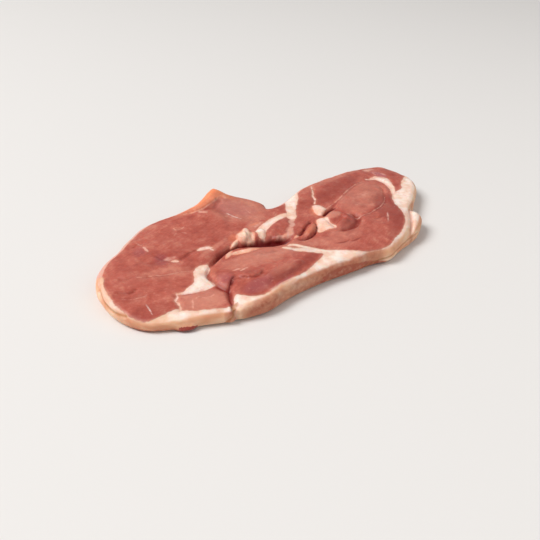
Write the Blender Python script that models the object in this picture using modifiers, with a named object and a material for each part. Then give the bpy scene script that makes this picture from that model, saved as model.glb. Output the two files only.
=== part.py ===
"""One slice of boneless leg of lamb, cut across the leg and lying flat.

The slice is a slab of raw meat about 10 mm thick. Its plan is one closed curve. Muscles stand up as low
domes, the seams between them sink, and a deep cleft shows where the bone was taken out. The thin flap at
the back curls up to a point. A cap of fat wraps the left end, the front and the right end: it runs through
the whole thickness, so it is a solid of its own, set 0.3 mm off the lean.

Frame: metres, +Z up, the slice's length along +X, its curled flap towards +Y, the origin on the surface it
lies on, under the middle of its box. Numbers below are millimetres unless they say otherwise.
"""
import bpy
import bmesh
import numpy as np
from mathutils import Matrix

MM = 0.001

# The slab
THICKNESS = 10.0
GRAIN = 0.83            # voxel of the first, even mesh
LEAN_SHARE = 0.085      # share of that mesh's faces that the lean keeps
FAT_SHARE = 0.11        # the same for the fat cap
FAT_GAP = 0.3           # between the lean and the fat cap
OUTLINE_STEP = 1.2      # between the points of a smooth outline
LEAN_STEP = 1.9         # the same for the lean's outline
SPAN_STEPS = 24         # fine steps from one given point of an outline to the next
WELD_REACH = 0.02       # points of a rim closer than this are one

# The plan, as stretches of one closed curve, from the flap's tip round by the left end
FLAP_TIP = (-10.2, 45.9)
BACK_LEFT = [(-26, 44.2), (-48, 47.5), (-60.5, 44.3), (-77.3, 33.8), (-89, 27.4), (-97.6, 18)]
LEFT_END = [(-100.8, 6), (-100.7, -6), (-96, -17.7), (-86.3, -24.8)]
FRONT = [(-71.5, -32), (-66.4, -34.7), (-62.8, -36.9), (-61.2, -35.9), (-59.2, -37.2), (-54.8, -38.8),
         (-45, -40.7), (-30, -39), (-10, -39.4), (10, -42), (18, -42.4)]
RIGHT_FRONT = [(24.5, -43.6), (31.2, -45.6), (44, -42.8), (57.2, -40.4), (65.8, -36.8), (71.8, -31.8),
               (73.2, -24.6)]
RIGHT_END = [(80.6, -19.4), (91.6, -12.4), (100.8, -5), (105, 3.4), (104.6, 9.5), (104.4, 16), (101.4, 24.8)]
BACK_RIGHT = [(88.3, 29.5), (68, 30.8), (42, 30.2), (29.2, 26), (16.8, 23.4), (9.5, 23.6)]
FLAP_SIDE = [(11.3, 29), (6.3, 37.8), (-2, 42.2)]

# Where the lean meets the fat cap, from the left end round the front to the right end
LEAN_LEFT = [(-98, 24), (-94.8, 17.4), (-97, 12), (-98.9, 6), (-99.7, -1), (-99.5, -6), (-98.6, -11),
             (-96.9, -15.8)]
LEAN_FRONT_LEFT = [(-94, -19), (-89, -19.9), (-83.6, -20), (-80.2, -20.6), (-79.3, -23.2), (-75.3, -27),
                   (-69.5, -30.2), (-62.6, -34)]
LEAN_EYE = [(-59.4, -33), (-56, -29.5), (-54, -29.6), (-51, -34.6), (-45, -37.4), (-37.5, -36.8), (-28, -36.6),
            (-17, -35.8), (-8.8, -33.2), (-1, -30)]
LEAN_WEDGE = [(-6, -25.6), (-11.5, -20.5), (-10.5, -16.5), (-7, -18.5), (-2, -22.6), (5, -29.5), (11.5, -36.6)]
LEAN_RIGHT = [(16.8, -40.2), (22.5, -41.3), (31, -43), (39.6, -41), (48, -38.6), (55.4, -34.6), (62, -28.2),
              (65.6, -22), (70, -14.4), (77.5, -7.4), (87.5, -5.5), (93, -0.5), (110, 8)]
# Corners that close the lean's outline behind the slice, clear of it
BEHIND = [(125, 70), (-125, 70), (-125, 23)]
# Lowest and highest level of the cutters made from that outline, below and above the slice
CUTTER_SPAN = (-5, 40)

# Rounding of the rim: radius at the top, radius at the bottom, the least upright wall left between them where
# the slice is thin, and how far the side swells
TOP_ROUND = 3.2
BOTTOM_ROUND = 3.0
LEAST_WALL = 0.6
LEAST_ROUND = 0.1       # share of the full rounding that even the thinnest place keeps
SIDE_SWELL = 0.7
SWELL_REACH = 1.5
# Where the slice is thinner: x and y, how far that reaches, and by how much
THIN_PLACES = {
    "front_left": (-80, -32, 34.0, 3.0),
    "left_end": (-101, -12, 18.0, 2.0),
    "right_front": (30, -50, 20.0, 1.9),
}

# The curled flap: height gained at its tip, how far and how steeply that fades, how much further it reaches to
# the left, how much faster its underside rises, and how late that starts
FLAP_LIFT = 9.8
FLAP_REACH = 12.5
FLAP_FADE = 1.15
FLAP_LEFT_SQUEEZE = 0.72
FLAP_UNDERCUT = 1.75
FLAP_UNDER_START = 1.0

# How flat a muscle's dome is on top, and how steeply it rises from its foot
DOME_FLATNESS = 0.8
DOME_FOOT = 3.0
# Muscles: centre x and y, half length, half width, turn in degrees, height of the dome
MUSCLES = {
    "upper_left": (-50, 22, 48, 24, 12, 1.3),
    "lower_left": (-80, -3, 26, 20, -25, 0.9),
    "square": (-69, -25, 13, 9, -15, 0.7),
    "eye": (-30, -21, 31, 15, -8, 1.7),
    "eye_lobe": (-52, -15.5, 6.5, 8, -15, 0.7),
    "eye_rise": (-25.5, -29.2, 12, 3.6, 4, 1.0),
    "eye_low": (-44, -30, 10, 5.5, 10, 0.7),
    "right_lobe": (38, -27, 36, 20, 22, 1.6),
    "pale_oval": (60, 3, 26, 11, 20, 1.5),
    "back_right": (56, 22, 38, 14, 4, 1.6),
    "end_muscle": (92, 10, 13, 12, 70, 0.9),
    "inner_muscle": (0, 3.5, 11, 4.5, 22, 1.0),
    "curled_bump": (31, -9, 8, 7, 20, 1.5),
    "beside_bump": (21, -9, 7.5, 3.4, 66, 0.8),
    "over_bump": (29.6, 4, 6.6, 4.2, 60, 0.9),
    "curds": (-21, 6.5, 6, 4.5, 55, 1.7),
    "hook": (-12.4, 3.2, 5.6, 2.4, 50, 1.2),
    "left_swell": (-83, 12, 12, 8, 20, 0.5),
}

# Share of a seam's depth at its very ends, and how fast it gets to the full depth from there
SEAM_END = 0.35
SEAM_RUN_IN = 8.0
# Seams between muscles, slits and folds: points, half width, depth
SEAMS = {
    "beside_lobe": ([(-54.5, -4), (-56, -8), (-57, -12.5), (-57.5, -19), (-56.5, -22.5), (-55.5, -25),
                     (-57.5, -28.5), (-60.5, -33)], 1.1, 1.6),
    "lobe_slit": ([(-56.5, -26), (-54.6, -24), (-52, -22.3), (-49.5, -20.2), (-47, -19.4)], 0.7, 1.5),
    "beside_wedge": ([(-10.5, -16.5), (-6, -20.5), (-1, -27)], 1.6, 0.5),
    "square_top": ([(-75.5, -12.5), (-71, -15), (-67, -16.5), (-58.5, -17.5)], 1.2, 0.5),
    "square_left": ([(-75.5, -12.5), (-78, -16), (-78.5, -20), (-80.5, -23)], 1.1, 0.6),
    "left_crease": ([(-96.6, 4.9), (-94.2, 3.1), (-91.8, 0.9), (-89.2, 0.5), (-86.8, 1.6)], 0.9, 0.9),
    "left_dent": ([(-90.5, 11.5), (-88.2, 9.2), (-85.2, 8.2)], 0.9, 1.0),
    "left_hollow": ([(-72, 14), (-67, 12), (-62, 13)], 3.5, 0.6),
    "upper_line": ([(-66.5, 18), (-65.2, 14), (-62.8, 10.2), (-59.6, 7.8), (-52, 9.6), (-46, 9.4)], 0.9, 0.6),
    "beside_flap": ([(-17.5, 34), (-16.4, 31), (-16.3, 27), (-17, 22)], 2.1, 0.7),
    "flap_pocket": ([(-24, 37), (-20.6, 36), (-17.6, 35.2), (-14.4, 37.2), (-10.6, 38.7)], 1.4, 0.7),
    "oval_low": ([(36, -12.5), (40.5, -15), (46, -16), (54.5, -15.3), (65.5, -11.5), (71, -7), (77, -0.5),
                  (79, 5)], 1.1, 0.7),
    "oval_top": ([(31, 0.5), (37, 2.5), (44.5, 5), (54, 8), (65.5, 12), (76, 13.8)], 1.3, 0.8),
    "upper_slit": ([(5.5, -6.6), (8.2, -5.2), (10.7, -3.8), (13.2, -2.7), (17, -1.7)], 0.8, 2.6),
    "lower_slit": ([(18.8, -5), (17, -5.6), (15.6, -7.2), (11, -11), (7.4, -12.3), (2.7, -12.2), (-0.8, -11.4)],
                   0.8, 2.4),
    "bump_slit": ([(28.6, -0.6), (31, 0.9), (34.4, 2.2), (38.5, 2.6)], 0.9, 2.0),
    "bump_hollow": ([(22.5, -19), (26, -20), (31, -20.6), (36, -18.6), (40.2, -14.6), (41.2, -10)], 1.5, 1.6),
    "back_seam": ([(44.5, 24.5), (41, 20), (38, 17.5), (35, 13)], 1.0, 0.6),
    "silver_seam": ([(82, 15), (88, 12), (89.5, 7.5), (88, 2)], 1.2, 0.7),
    "end_seam": ([(83.5, 12), (85, 6.5), (83.2, 0), (77.5, -6.5), (72, -12.5)], 1.3, 0.6),
    "rim_fold": ([(70.5, -25.5), (68, -28), (63, -32.5), (58, -37), (53, -40.3), (46, -43.5)], 0.9, 1.3),
    "rim_nick": ([(69, -26.5), (72, -25), (76, -23.6)], 1.0, 1.2),
    "rim_cut": ([(-58.5, -31), (-61.5, -35.2), (-64.5, -39.5), (-66, -43)], 0.8, 1.4),
}

# The cleft left by the bone: points along it, the half width at each, and the depth at each
CLEFT = [(-53, -5.6), (-47.5, -2.7), (-42, 0), (-36, 2), (-30, 2.2), (-24.5, 0.2), (-18, -2.6), (-12, -4.9),
         (-6.5, -7), (-1, -8.6)]
CLEFT_HALF_WIDTH = [0.6, 0.9, 1.15, 1.2, 1.4, 1.9, 2.8, 3.4, 3.2, 1.2]
CLEFT_DEPTH = [0.6, 2.2, 3.2, 3.6, 4.0, 4.8, 5.8, 6.4, 5.6, 1.5]
# How steep its walls are
CLEFT_STEEPNESS = 2.2
# The same cleft, nearly closed, on the underside, and how fast it gets to its full depth from its ends
UNDER_CLEFT_HALF_WIDTH = 1.6
UNDER_CLEFT_DEPTH = 1.6
UNDER_CLEFT_RUN_IN = 5.0

# A scrap of lean that pokes out under the front left rim: x along the rim, reach, half width, height, and how
# far in from the rim it starts
SCRAP_X = -80.8
SCRAP_REACH = 2.2
SCRAP_HALF_WIDTH = 4.0
SCRAP_HEIGHT = 3.4
SCRAP_ROOT = 5.0
# The rim is less rounded underneath where the scrap grows from it
SCRAP_FILLS_ROUND = 0.7

LEAN_COLOUR = (0.52, 0.135, 0.105, 1.0)
FAT_COLOUR = (0.90, 0.66, 0.54, 1.0)


def smooth_line(points, step=OUTLINE_STEP, closed=False):
    """Points evenly spaced along a smooth curve that passes through all the given ones."""
    given = np.array(points, float)
    count = len(given)
    if closed:
        padded = np.vstack([given[-1:], given, given[:2]])
        spans = count
    else:
        padded = np.vstack([2 * given[:1] - given[1:2], given, 2 * given[-1:] - given[-2:-1]])
        spans = count - 1
    t = np.linspace(0, 1, SPAN_STEPS, endpoint=False)[:, None]
    fine = []
    for i in range(spans):
        a, b, c, d = padded[i:i + 4]
        fine.append(0.5 * (2 * b + (c - a) * t + (2 * a - 5 * b + 4 * c - d) * t ** 2
                           + (3 * b - a - 3 * c + d) * t ** 3))
    fine.append(padded[spans + 1][None, :])
    fine = np.vstack(fine)
    run = np.r_[0, np.cumsum(np.hypot(*np.diff(fine, axis=0).T))]
    number = max(4, round(run[-1] / step))
    at = np.linspace(0, run[-1], number + 1)
    even = np.stack([np.interp(at, run, fine[:, k]) for k in (0, 1)], -1)
    return even[:-1] if closed else even


def nearest_on(line, where):
    """Distance from each place to a line of points, how far along it that is (0 to 1), and the foot point."""
    starts, ends = line[:-1], line[1:]
    along = ends - starts
    length = np.hypot(along[:, 0], along[:, 1])
    run = np.r_[0, np.cumsum(length)]
    best = np.full(len(where), 1e9)
    share = np.zeros(len(where))
    foot = np.zeros((len(where), 2))
    for i in range(len(starts)):
        t = np.clip(((where - starts[i]) @ along[i]) / max(length[i] ** 2, 1e-12), 0, 1)
        place = starts[i] + t[:, None] * along[i]
        gap = np.hypot(*(where - place).T)
        closer = gap < best
        best[closer] = gap[closer]
        share[closer] = ((run[i] + t * length[i]) / run[-1])[closer]
        foot[closer] = place[closer]
    return best, share, foot


def inside_loop(loop, where):
    """Whether each place lies inside a closed loop of points."""
    hit = np.zeros(len(where), bool)
    x, y = where.T
    for (x0, y0), (x1, y1) in zip(loop, np.roll(loop, -1, axis=0)):
        if y0 == y1:
            continue
        crosses = (y0 > y) != (y1 > y)
        hit ^= crosses & (x < (x1 - x0) * (y - y0) / (y1 - y0) + x0)
    return hit


def round_drop(depth_in, radius):
    """How far a rim of the given radius has fallen at a distance in from the edge."""
    short = np.clip(radius - depth_in, 0, radius)
    return radius - np.sqrt(radius ** 2 - short ** 2)


def slice_loop():
    """The plan of the slice as one closed, evenly stepped loop."""
    points = [FLAP_TIP, *BACK_LEFT, *LEFT_END, *FRONT, *RIGHT_FRONT, *RIGHT_END, *BACK_RIGHT, *FLAP_SIDE]
    return smooth_line(points, closed=True)


def lean_loop(grow=0.0):
    """The plan of the lean, closed well behind the slice, grown outwards by a little where asked."""
    line = smooth_line([*LEAN_LEFT, *LEAN_FRONT_LEFT, *LEAN_EYE, *LEAN_WEDGE, *LEAN_RIGHT], step=LEAN_STEP)
    if grow:
        ahead = np.gradient(line, axis=0)
        ahead /= np.hypot(ahead[:, 0], ahead[:, 1])[:, None]
        line = line + grow * np.stack([ahead[:, 1], -ahead[:, 0]], -1)
    return np.vstack([line, BEHIND])


def flap_lift(where):
    """Height that the curled flap adds at each place."""
    dx = where[:, 0] - FLAP_TIP[0]
    dy = where[:, 1] - FLAP_TIP[1]
    dx = np.where(dx < 0, dx * FLAP_LEFT_SQUEEZE, dx)
    return FLAP_LIFT * np.exp(-(np.hypot(dx, dy) / FLAP_REACH) ** FLAP_FADE)


def dome(where, x, y, half_length, half_width, turn, height):
    """A low dome with an oval foot."""
    angle = np.radians(turn)
    dx, dy = where[:, 0] - x, where[:, 1] - y
    u = (dx * np.cos(angle) + dy * np.sin(angle)) / half_length
    v = (-dx * np.sin(angle) + dy * np.cos(angle)) / half_width
    rise = np.clip(1 - (u * u + v * v), 0, 1)
    return height * rise ** DOME_FLATNESS * np.clip(DOME_FOOT * rise, 0, 1)


def top_height(where):
    """Height of the upper cut face above the surface the slice lies on."""
    height = THICKNESS + flap_lift(where)
    for x, y, reach, thinner in THIN_PLACES.values():
        away = np.hypot(where[:, 0] - x, where[:, 1] - y)
        height -= thinner * np.exp(-(away / reach) ** 2)
    for muscle in MUSCLES.values():
        height += dome(where, *muscle)
    for points, half_width, depth in SEAMS.values():
        gap, share, _ = nearest_on(smooth_line(points), where)
        fade = np.clip(SEAM_END + SEAM_RUN_IN * np.minimum(share, 1 - share), 0, 1)
        height -= depth * fade * np.exp(-(gap / half_width) ** 2)
    gap, share, _ = nearest_on(smooth_line(CLEFT), where)
    stations = np.linspace(0, 1, len(CLEFT))
    half_width = np.interp(share, stations, CLEFT_HALF_WIDTH)
    depth = np.interp(share, stations, CLEFT_DEPTH)
    height -= depth * np.exp(-(gap / half_width) ** CLEFT_STEEPNESS)
    return height


def bottom_height(where):
    """Height of the lower cut face: flat, but for the flap that lifts off and the closed-up cleft."""
    height = np.clip(FLAP_UNDERCUT * flap_lift(where) - FLAP_UNDER_START, 0, None)
    gap, share, _ = nearest_on(smooth_line(CLEFT), where)
    fade = np.clip(UNDER_CLEFT_RUN_IN * np.minimum(share, 1 - share), 0, 1)
    return height + UNDER_CLEFT_DEPTH * fade * np.exp(-(gap / UNDER_CLEFT_HALF_WIDTH) ** 2)


def object_from_loop(name, loop, low, high, collection):
    """A flat outline curve with thickness, made a closed mesh between two heights."""
    curve = bpy.data.curves.new(name, "CURVE")
    curve.dimensions = "2D"
    curve.fill_mode = "BOTH"
    curve.extrude = (high - low) / 2 * MM
    spline = curve.splines.new("POLY")
    spline.points.add(len(loop) - 1)
    for point, (x, y) in zip(spline.points, loop):
        point.co = (x * MM, y * MM, 0, 1)
    spline.use_cyclic_u = True
    outline = bpy.data.objects.new(name + "_outline", curve)
    outline.location.z = (high + low) / 2 * MM
    collection.objects.link(outline)
    bpy.context.view_layer.update()
    mesh = bpy.data.meshes.new_from_object(outline.evaluated_get(bpy.context.evaluated_depsgraph_get()))
    mesh.transform(Matrix.Translation(outline.location))
    bpy.data.objects.remove(outline)
    weld(mesh)
    solid = bpy.data.objects.new(name, mesh)
    collection.objects.link(solid)
    return solid


def weld(mesh):
    """Join the loose rims of a mesh and point its faces outwards."""
    work = bmesh.new()
    work.from_mesh(mesh)
    bmesh.ops.remove_doubles(work, verts=work.verts, dist=WELD_REACH * MM)
    bmesh.ops.recalc_face_normals(work, faces=work.faces)
    work.to_mesh(mesh)
    work.free()


def even_mesh(solid):
    """Give a plain solid an even mesh of small faces, and return that mesh."""
    remesh = solid.modifiers.new("even", "REMESH")
    remesh.mode = "VOXEL"
    remesh.voxel_size = GRAIN * MM
    bpy.context.view_layer.update()
    return bpy.data.meshes.new_from_object(solid.evaluated_get(bpy.context.evaluated_depsgraph_get()))


def shape_slab(mesh, loop):
    """Turn the even slab into the slice: round its rim, swell its side and raise and sink its faces.

    The slice ends up with the middle of its box over the origin; the shift that took is returned.
    """
    count = len(mesh.vertices)
    flat = np.empty(count * 3)
    mesh.vertices.foreach_get("co", flat)
    place = flat.reshape(-1, 3) / MM
    where = place[:, :2]
    level = np.clip(place[:, 2] / THICKNESS, 0, 1)
    ring = np.vstack([loop, loop[:1]])
    gap, _, foot = nearest_on(ring, where)
    depth_in = np.where(inside_loop(loop, where), gap, 0)
    top = top_height(where)
    bottom = bottom_height(where)
    by_scrap = np.exp(-((where[:, 0] - SCRAP_X) / SCRAP_HALF_WIDTH) ** 4) * (where[:, 1] < 0)
    fits = np.clip((top - bottom - LEAST_WALL) / (TOP_ROUND + BOTTOM_ROUND), LEAST_ROUND, 1)
    top -= round_drop(depth_in, TOP_ROUND * fits)
    bottom += round_drop(depth_in, BOTTOM_ROUND * fits * (1 - SCRAP_FILLS_ROUND * by_scrap))
    height = bottom + level * (top - bottom)
    outwards = np.where(depth_in[:, None] > 0, foot - where, where - foot)
    outwards /= np.maximum(np.hypot(outwards[:, 0], outwards[:, 1]), 1e-6)[:, None]
    swell = SIDE_SWELL * fits * np.sin(np.pi * level) * np.exp(-(depth_in / SWELL_REACH) ** 2)
    low_down = np.exp(-(height / SCRAP_HEIGHT) ** 4)
    swell += SCRAP_REACH * by_scrap * low_down * np.clip(1 - depth_in / SCRAP_ROOT, 0, 1)
    where = where + outwards * swell[:, None]
    place = np.column_stack([where, height])
    lowest, highest = place.min(axis=0), place.max(axis=0)
    middle = np.append((lowest[:2] + highest[:2]) / 2, lowest[2])
    mesh.vertices.foreach_set("co", ((place - middle) * MM).ravel())
    mesh.update()
    return middle


def coloured(name, colour, roughness):
    """A plain surface of one colour."""
    material = bpy.data.materials.new(name)
    material.use_nodes = True
    shader = material.node_tree.nodes["Principled BSDF"]
    shader.inputs["Base Color"].default_value = colour
    shader.inputs["Roughness"].default_value = roughness
    shader.inputs["Metallic"].default_value = 0.0
    material.diffuse_color = colour
    return material


def add_piece(name, mesh, cutter, operation, share, material, collection):
    """One solid of the slice: the whole slab cut by an outline, then thinned to fewer faces."""
    piece = bpy.data.objects.new(name, mesh)
    collection.objects.link(piece)
    piece.data.materials.append(material)
    cut = piece.modifiers.new("cut", "BOOLEAN")
    cut.operation = operation
    cut.object = cutter
    cut.solver = "EXACT"
    thin = piece.modifiers.new("fewer_faces", "DECIMATE")
    thin.ratio = share
    thin.use_collapse_triangulate = True
    return piece


def build():
    """Make the slice as two solids, the lean and the fat cap round it."""
    for leftover in list(bpy.data.objects):
        bpy.data.objects.remove(leftover)
    parts = bpy.data.collections.new("lamb_leg_slice")
    cutters = bpy.data.collections.new("cutters")
    bpy.context.scene.collection.children.link(parts)
    bpy.context.scene.collection.children.link(cutters)

    loop = slice_loop()
    slab = object_from_loop("slab", loop, 0, THICKNESS, cutters)
    mesh = even_mesh(slab)
    middle = shape_slab(mesh, loop)
    bpy.data.objects.remove(slab)

    lean_cutter = object_from_loop("lean_cutter", lean_loop(), *CUTTER_SPAN, cutters)
    fat_cutter = object_from_loop("fat_cutter", lean_loop(FAT_GAP), *CUTTER_SPAN, cutters)
    for cutter in (lean_cutter, fat_cutter):
        cutter.location = -middle * MM
        cutter.display_type = "WIRE"
        cutter.hide_render = True

    lean_finish = coloured("raw_lean", LEAN_COLOUR, 0.35)
    fat_finish = coloured("raw_fat", FAT_COLOUR, 0.4)
    add_piece("lean", mesh, lean_cutter, "INTERSECT", LEAN_SHARE, lean_finish, parts)
    add_piece("fat_cap", mesh.copy(), fat_cutter, "DIFFERENCE", FAT_SHARE, fat_finish, parts)


build()
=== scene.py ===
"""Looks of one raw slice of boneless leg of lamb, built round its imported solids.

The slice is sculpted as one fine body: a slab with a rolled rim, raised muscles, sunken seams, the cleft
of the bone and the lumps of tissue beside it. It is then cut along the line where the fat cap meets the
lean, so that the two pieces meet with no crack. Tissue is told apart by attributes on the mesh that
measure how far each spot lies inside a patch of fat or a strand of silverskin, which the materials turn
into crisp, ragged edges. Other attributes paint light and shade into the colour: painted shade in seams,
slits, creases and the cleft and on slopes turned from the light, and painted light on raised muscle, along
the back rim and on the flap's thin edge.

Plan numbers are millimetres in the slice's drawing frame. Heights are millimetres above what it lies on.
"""
from __future__ import annotations

import logging
from dataclasses import dataclass, field
from enum import Enum
from functools import partial
from typing import Any

import bpy
import numpy as np
from mathutils import Matrix, Vector, noise


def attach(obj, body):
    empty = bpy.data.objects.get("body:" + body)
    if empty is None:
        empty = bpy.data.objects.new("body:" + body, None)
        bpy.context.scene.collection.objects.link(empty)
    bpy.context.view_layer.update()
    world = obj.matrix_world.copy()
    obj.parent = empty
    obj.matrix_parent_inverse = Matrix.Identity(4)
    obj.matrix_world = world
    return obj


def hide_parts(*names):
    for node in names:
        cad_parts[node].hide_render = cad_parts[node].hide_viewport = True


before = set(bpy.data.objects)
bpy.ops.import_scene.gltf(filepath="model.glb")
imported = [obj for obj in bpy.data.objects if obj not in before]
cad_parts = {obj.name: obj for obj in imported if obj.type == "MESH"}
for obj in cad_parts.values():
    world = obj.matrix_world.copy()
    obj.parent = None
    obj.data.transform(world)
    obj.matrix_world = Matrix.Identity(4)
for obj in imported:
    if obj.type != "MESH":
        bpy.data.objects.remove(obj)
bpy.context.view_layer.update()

LOG = logging.getLogger("lamb_slice")
MM = 0.001
SPAN_STEPS = 24
TISSUE_STEP = 0.7
TISSUE_REACH = 4.0
SMOOTH_DEGREES = 62
ROOT_BODY = "root"
Place = tuple[float, float]
Places = tuple[Place, ...]
Triple = tuple[float, float, float]
Span = tuple[float, float]
Numbers = tuple[float, ...]
Stops = tuple[tuple[float, str], ...]
Layers = tuple[tuple[Any, str], ...]
Weights = tuple[tuple[Any, float], ...]
Socket = bpy.types.NodeSocket
Array = np.ndarray
Piece = bpy.types.Object


class Layer(Enum):
    """The two layers of the slice that show at its side, named as their solids are."""

    LEAN = "lean"
    FAT_CAP = "fat_cap"


class Field(Enum):
    """What the mesh tells the materials at each spot, as the name of an attribute."""

    FAT = "fat_mm"              # how far inside fat, negative in lean
    MEMBRANE = "membrane_mm"    # how far inside a strand of silverskin
    SKIN = "skin"               # 1 on the outer side of the fat
    DEEP_SHADE = "deep"               # 1 at the bottom of the cleft and slits: painted shade, dark red
    PALE = "pale"               # darker muscle, and painted shade on flanks, slopes and creases
    DUSK = "dusk"               # paler muscle, and painted light on raised, lit muscle
    VIOLET = "violet"           # bluish membrane over muscle
    AMBER = "amber"             # painted light on the flap's fatty edge, lit through; orange tint and painted shade on fat
    RAGGED = "ragged"           # torn tissue beside the cleft
    FILM = "film"               # thin pale tissue that lets the muscle show through, and painted highlights on the back rim and edges
    TAN = "tan"                 # drier, browner stretches of the outer side, and painted shade low on its wall
    SKIN_LINE = "skin_line_mm"  # how far inside a brown crease of the outer side
    CAVITY = "cavity"           # 1 at the bottom of seams and folds: painted shade, with dark lines of shade and a few marks
    CREAM = "cream"             # lumps of soft fat on the torn tissue
    GRAIN = "grain_mm"          # place turned along each muscle's grain
    RIM = "rim_mm"              # run along the rim, height and depth in from it


# Curves and distances in the plan


def smooth_line(points: tuple[Numbers, ...], step: float = 1.0, closed: bool = False) -> Array:
    """Points evenly spaced along a smooth curve through all the given ones.

    Args:
        points: places that the curve passes through.
        step: distance between the points returned.
        closed: whether the curve comes back to its start.

    Returns:
        An array of places, two numbers each. A closed curve doesn't repeat its first place.
    """
    given = np.array(points, float)
    axes = range(given.shape[1])
    if closed:
        padded = np.vstack([given[-1:], given, given[:2]])
    else:
        padded = np.vstack([2 * given[:1] - given[1:2], given, 2 * given[-1:] - given[-2:-1]])
    spans = len(padded) - 3
    t = np.linspace(0, 1, SPAN_STEPS, endpoint=False)[:, None]
    fine = []
    for i in range(spans):
        a, b, c, d = padded[i:i + 4]
        fine.append(0.5 * (2 * b + (c - a) * t + (2 * a - 5 * b + 4 * c - d) * t ** 2
                           + (3 * b - a - 3 * c + d) * t ** 3))
    fine.append(padded[spans + 1][None, :])
    fine = np.vstack(fine)
    run = np.r_[0, np.cumsum(np.linalg.norm(np.diff(fine, axis=0), axis=1))]
    at = np.linspace(0, run[-1], max(4, round(run[-1] / step)) + 1)
    even = np.stack([np.interp(at, run, fine[:, k]) for k in axes], -1)
    return even[:-1] if closed else even


def ring_of(loop: Array) -> Array:
    """A closed loop with its first place repeated at its end."""
    return np.vstack([loop, loop[:1]])


def nearest_on(line: Array, where: Array, reach: float) -> tuple[Array, Array, Array]:
    """Measure places against a line, in the plan or in space.

    Args:
        line: the places along the line.
        where: the places to measure.
        reach: the distance past which a place counts as out of reach.

    Returns:
        For each place its distance, at most the reach, how far along the line that is, 0 to 1, and the foot.
    """
    best = np.full(len(where), float(reach))
    share = np.zeros(len(where))
    foot = where.copy()
    low, high = line.min(axis=0) - reach, line.max(axis=0) + reach
    near = np.nonzero(np.all((where > low) & (where < high), axis=1))[0]
    x, y = where[near, 0], where[near, 1]
    starts, along = line[:-1], np.diff(line, axis=0)
    length = np.linalg.norm(along, axis=1)
    run = np.r_[0, np.cumsum(length)]
    for i, (start, step) in enumerate(zip(starts, along)):
        low_x, high_x = sorted((start[0], start[0] + step[0]))
        low_y, high_y = sorted((start[1], start[1] + step[1]))
        close = np.nonzero((x > low_x - reach) & (x < high_x + reach)
                           & (y > low_y - reach) & (y < high_y + reach))[0]
        if not len(close) or length[i] == 0:
            continue
        spot = near[close]
        t = np.clip(((where[spot] - start) @ step) / length[i] ** 2, 0, 1)
        place = start + t[:, None] * step
        gap = np.linalg.norm(where[spot] - place, axis=1)
        closer = gap < best[spot]
        won = spot[closer]
        best[won] = gap[closer]
        share[won] = (run[i] + t[closer] * length[i]) / run[-1]
        foot[won] = place[closer]
    return best, share, foot


def left_of(line: Array, where: Array, share: Array, foot: Array) -> Array:
    """Tell which places lie to the left of a line, looking along it.

    Args:
        line: the places along the line.
        where: the places to test.
        share: how far along the line each place's foot is.
        foot: each place's foot.

    Returns:
        1 on the left, -1 on the right.
    """
    ahead = np.gradient(line, axis=0)
    stations = np.linspace(0, 1, len(line))
    along_x, along_y = (np.interp(share, stations, ahead[:, k]) for k in (0, 1))
    away = where - foot
    return np.where(along_x * away[:, 1] - along_y * away[:, 0] > 0, 1.0, -1.0)


def inside_loop(loop: Array, where: Array) -> Array:
    """Tell which places lie inside a closed loop.

    Args:
        loop: the places round the loop.
        where: the places to test.

    Returns:
        True for each place inside.
    """
    hit = np.zeros(len(where), bool)
    x, y = where.T
    for (x0, y0), (x1, y1) in zip(loop, np.roll(loop, -1, axis=0)):
        if y0 != y1:
            crosses = (y0 > y) != (y1 > y)
            hit ^= crosses & (x < (x1 - x0) * (y - y0) / (y1 - y0) + x0)
    return hit


def ease(low: float, high: float, value: Array) -> Array:
    """A smooth step from 0 at the low value to 1 at the high one."""
    t = np.clip((value - low) / (high - low), 0, 1)
    return t * t * (3 - 2 * t)


# The plan, the relief and the tissues of the slice


def table(kind: type, rows: dict[str, tuple[Any, ...]]) -> Any:
    """A dataclass field that holds, by name, one thing of the given kind for each row of its values."""
    return field(default_factory=lambda: {name: kind(*row) for name, row in rows.items()})


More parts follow.
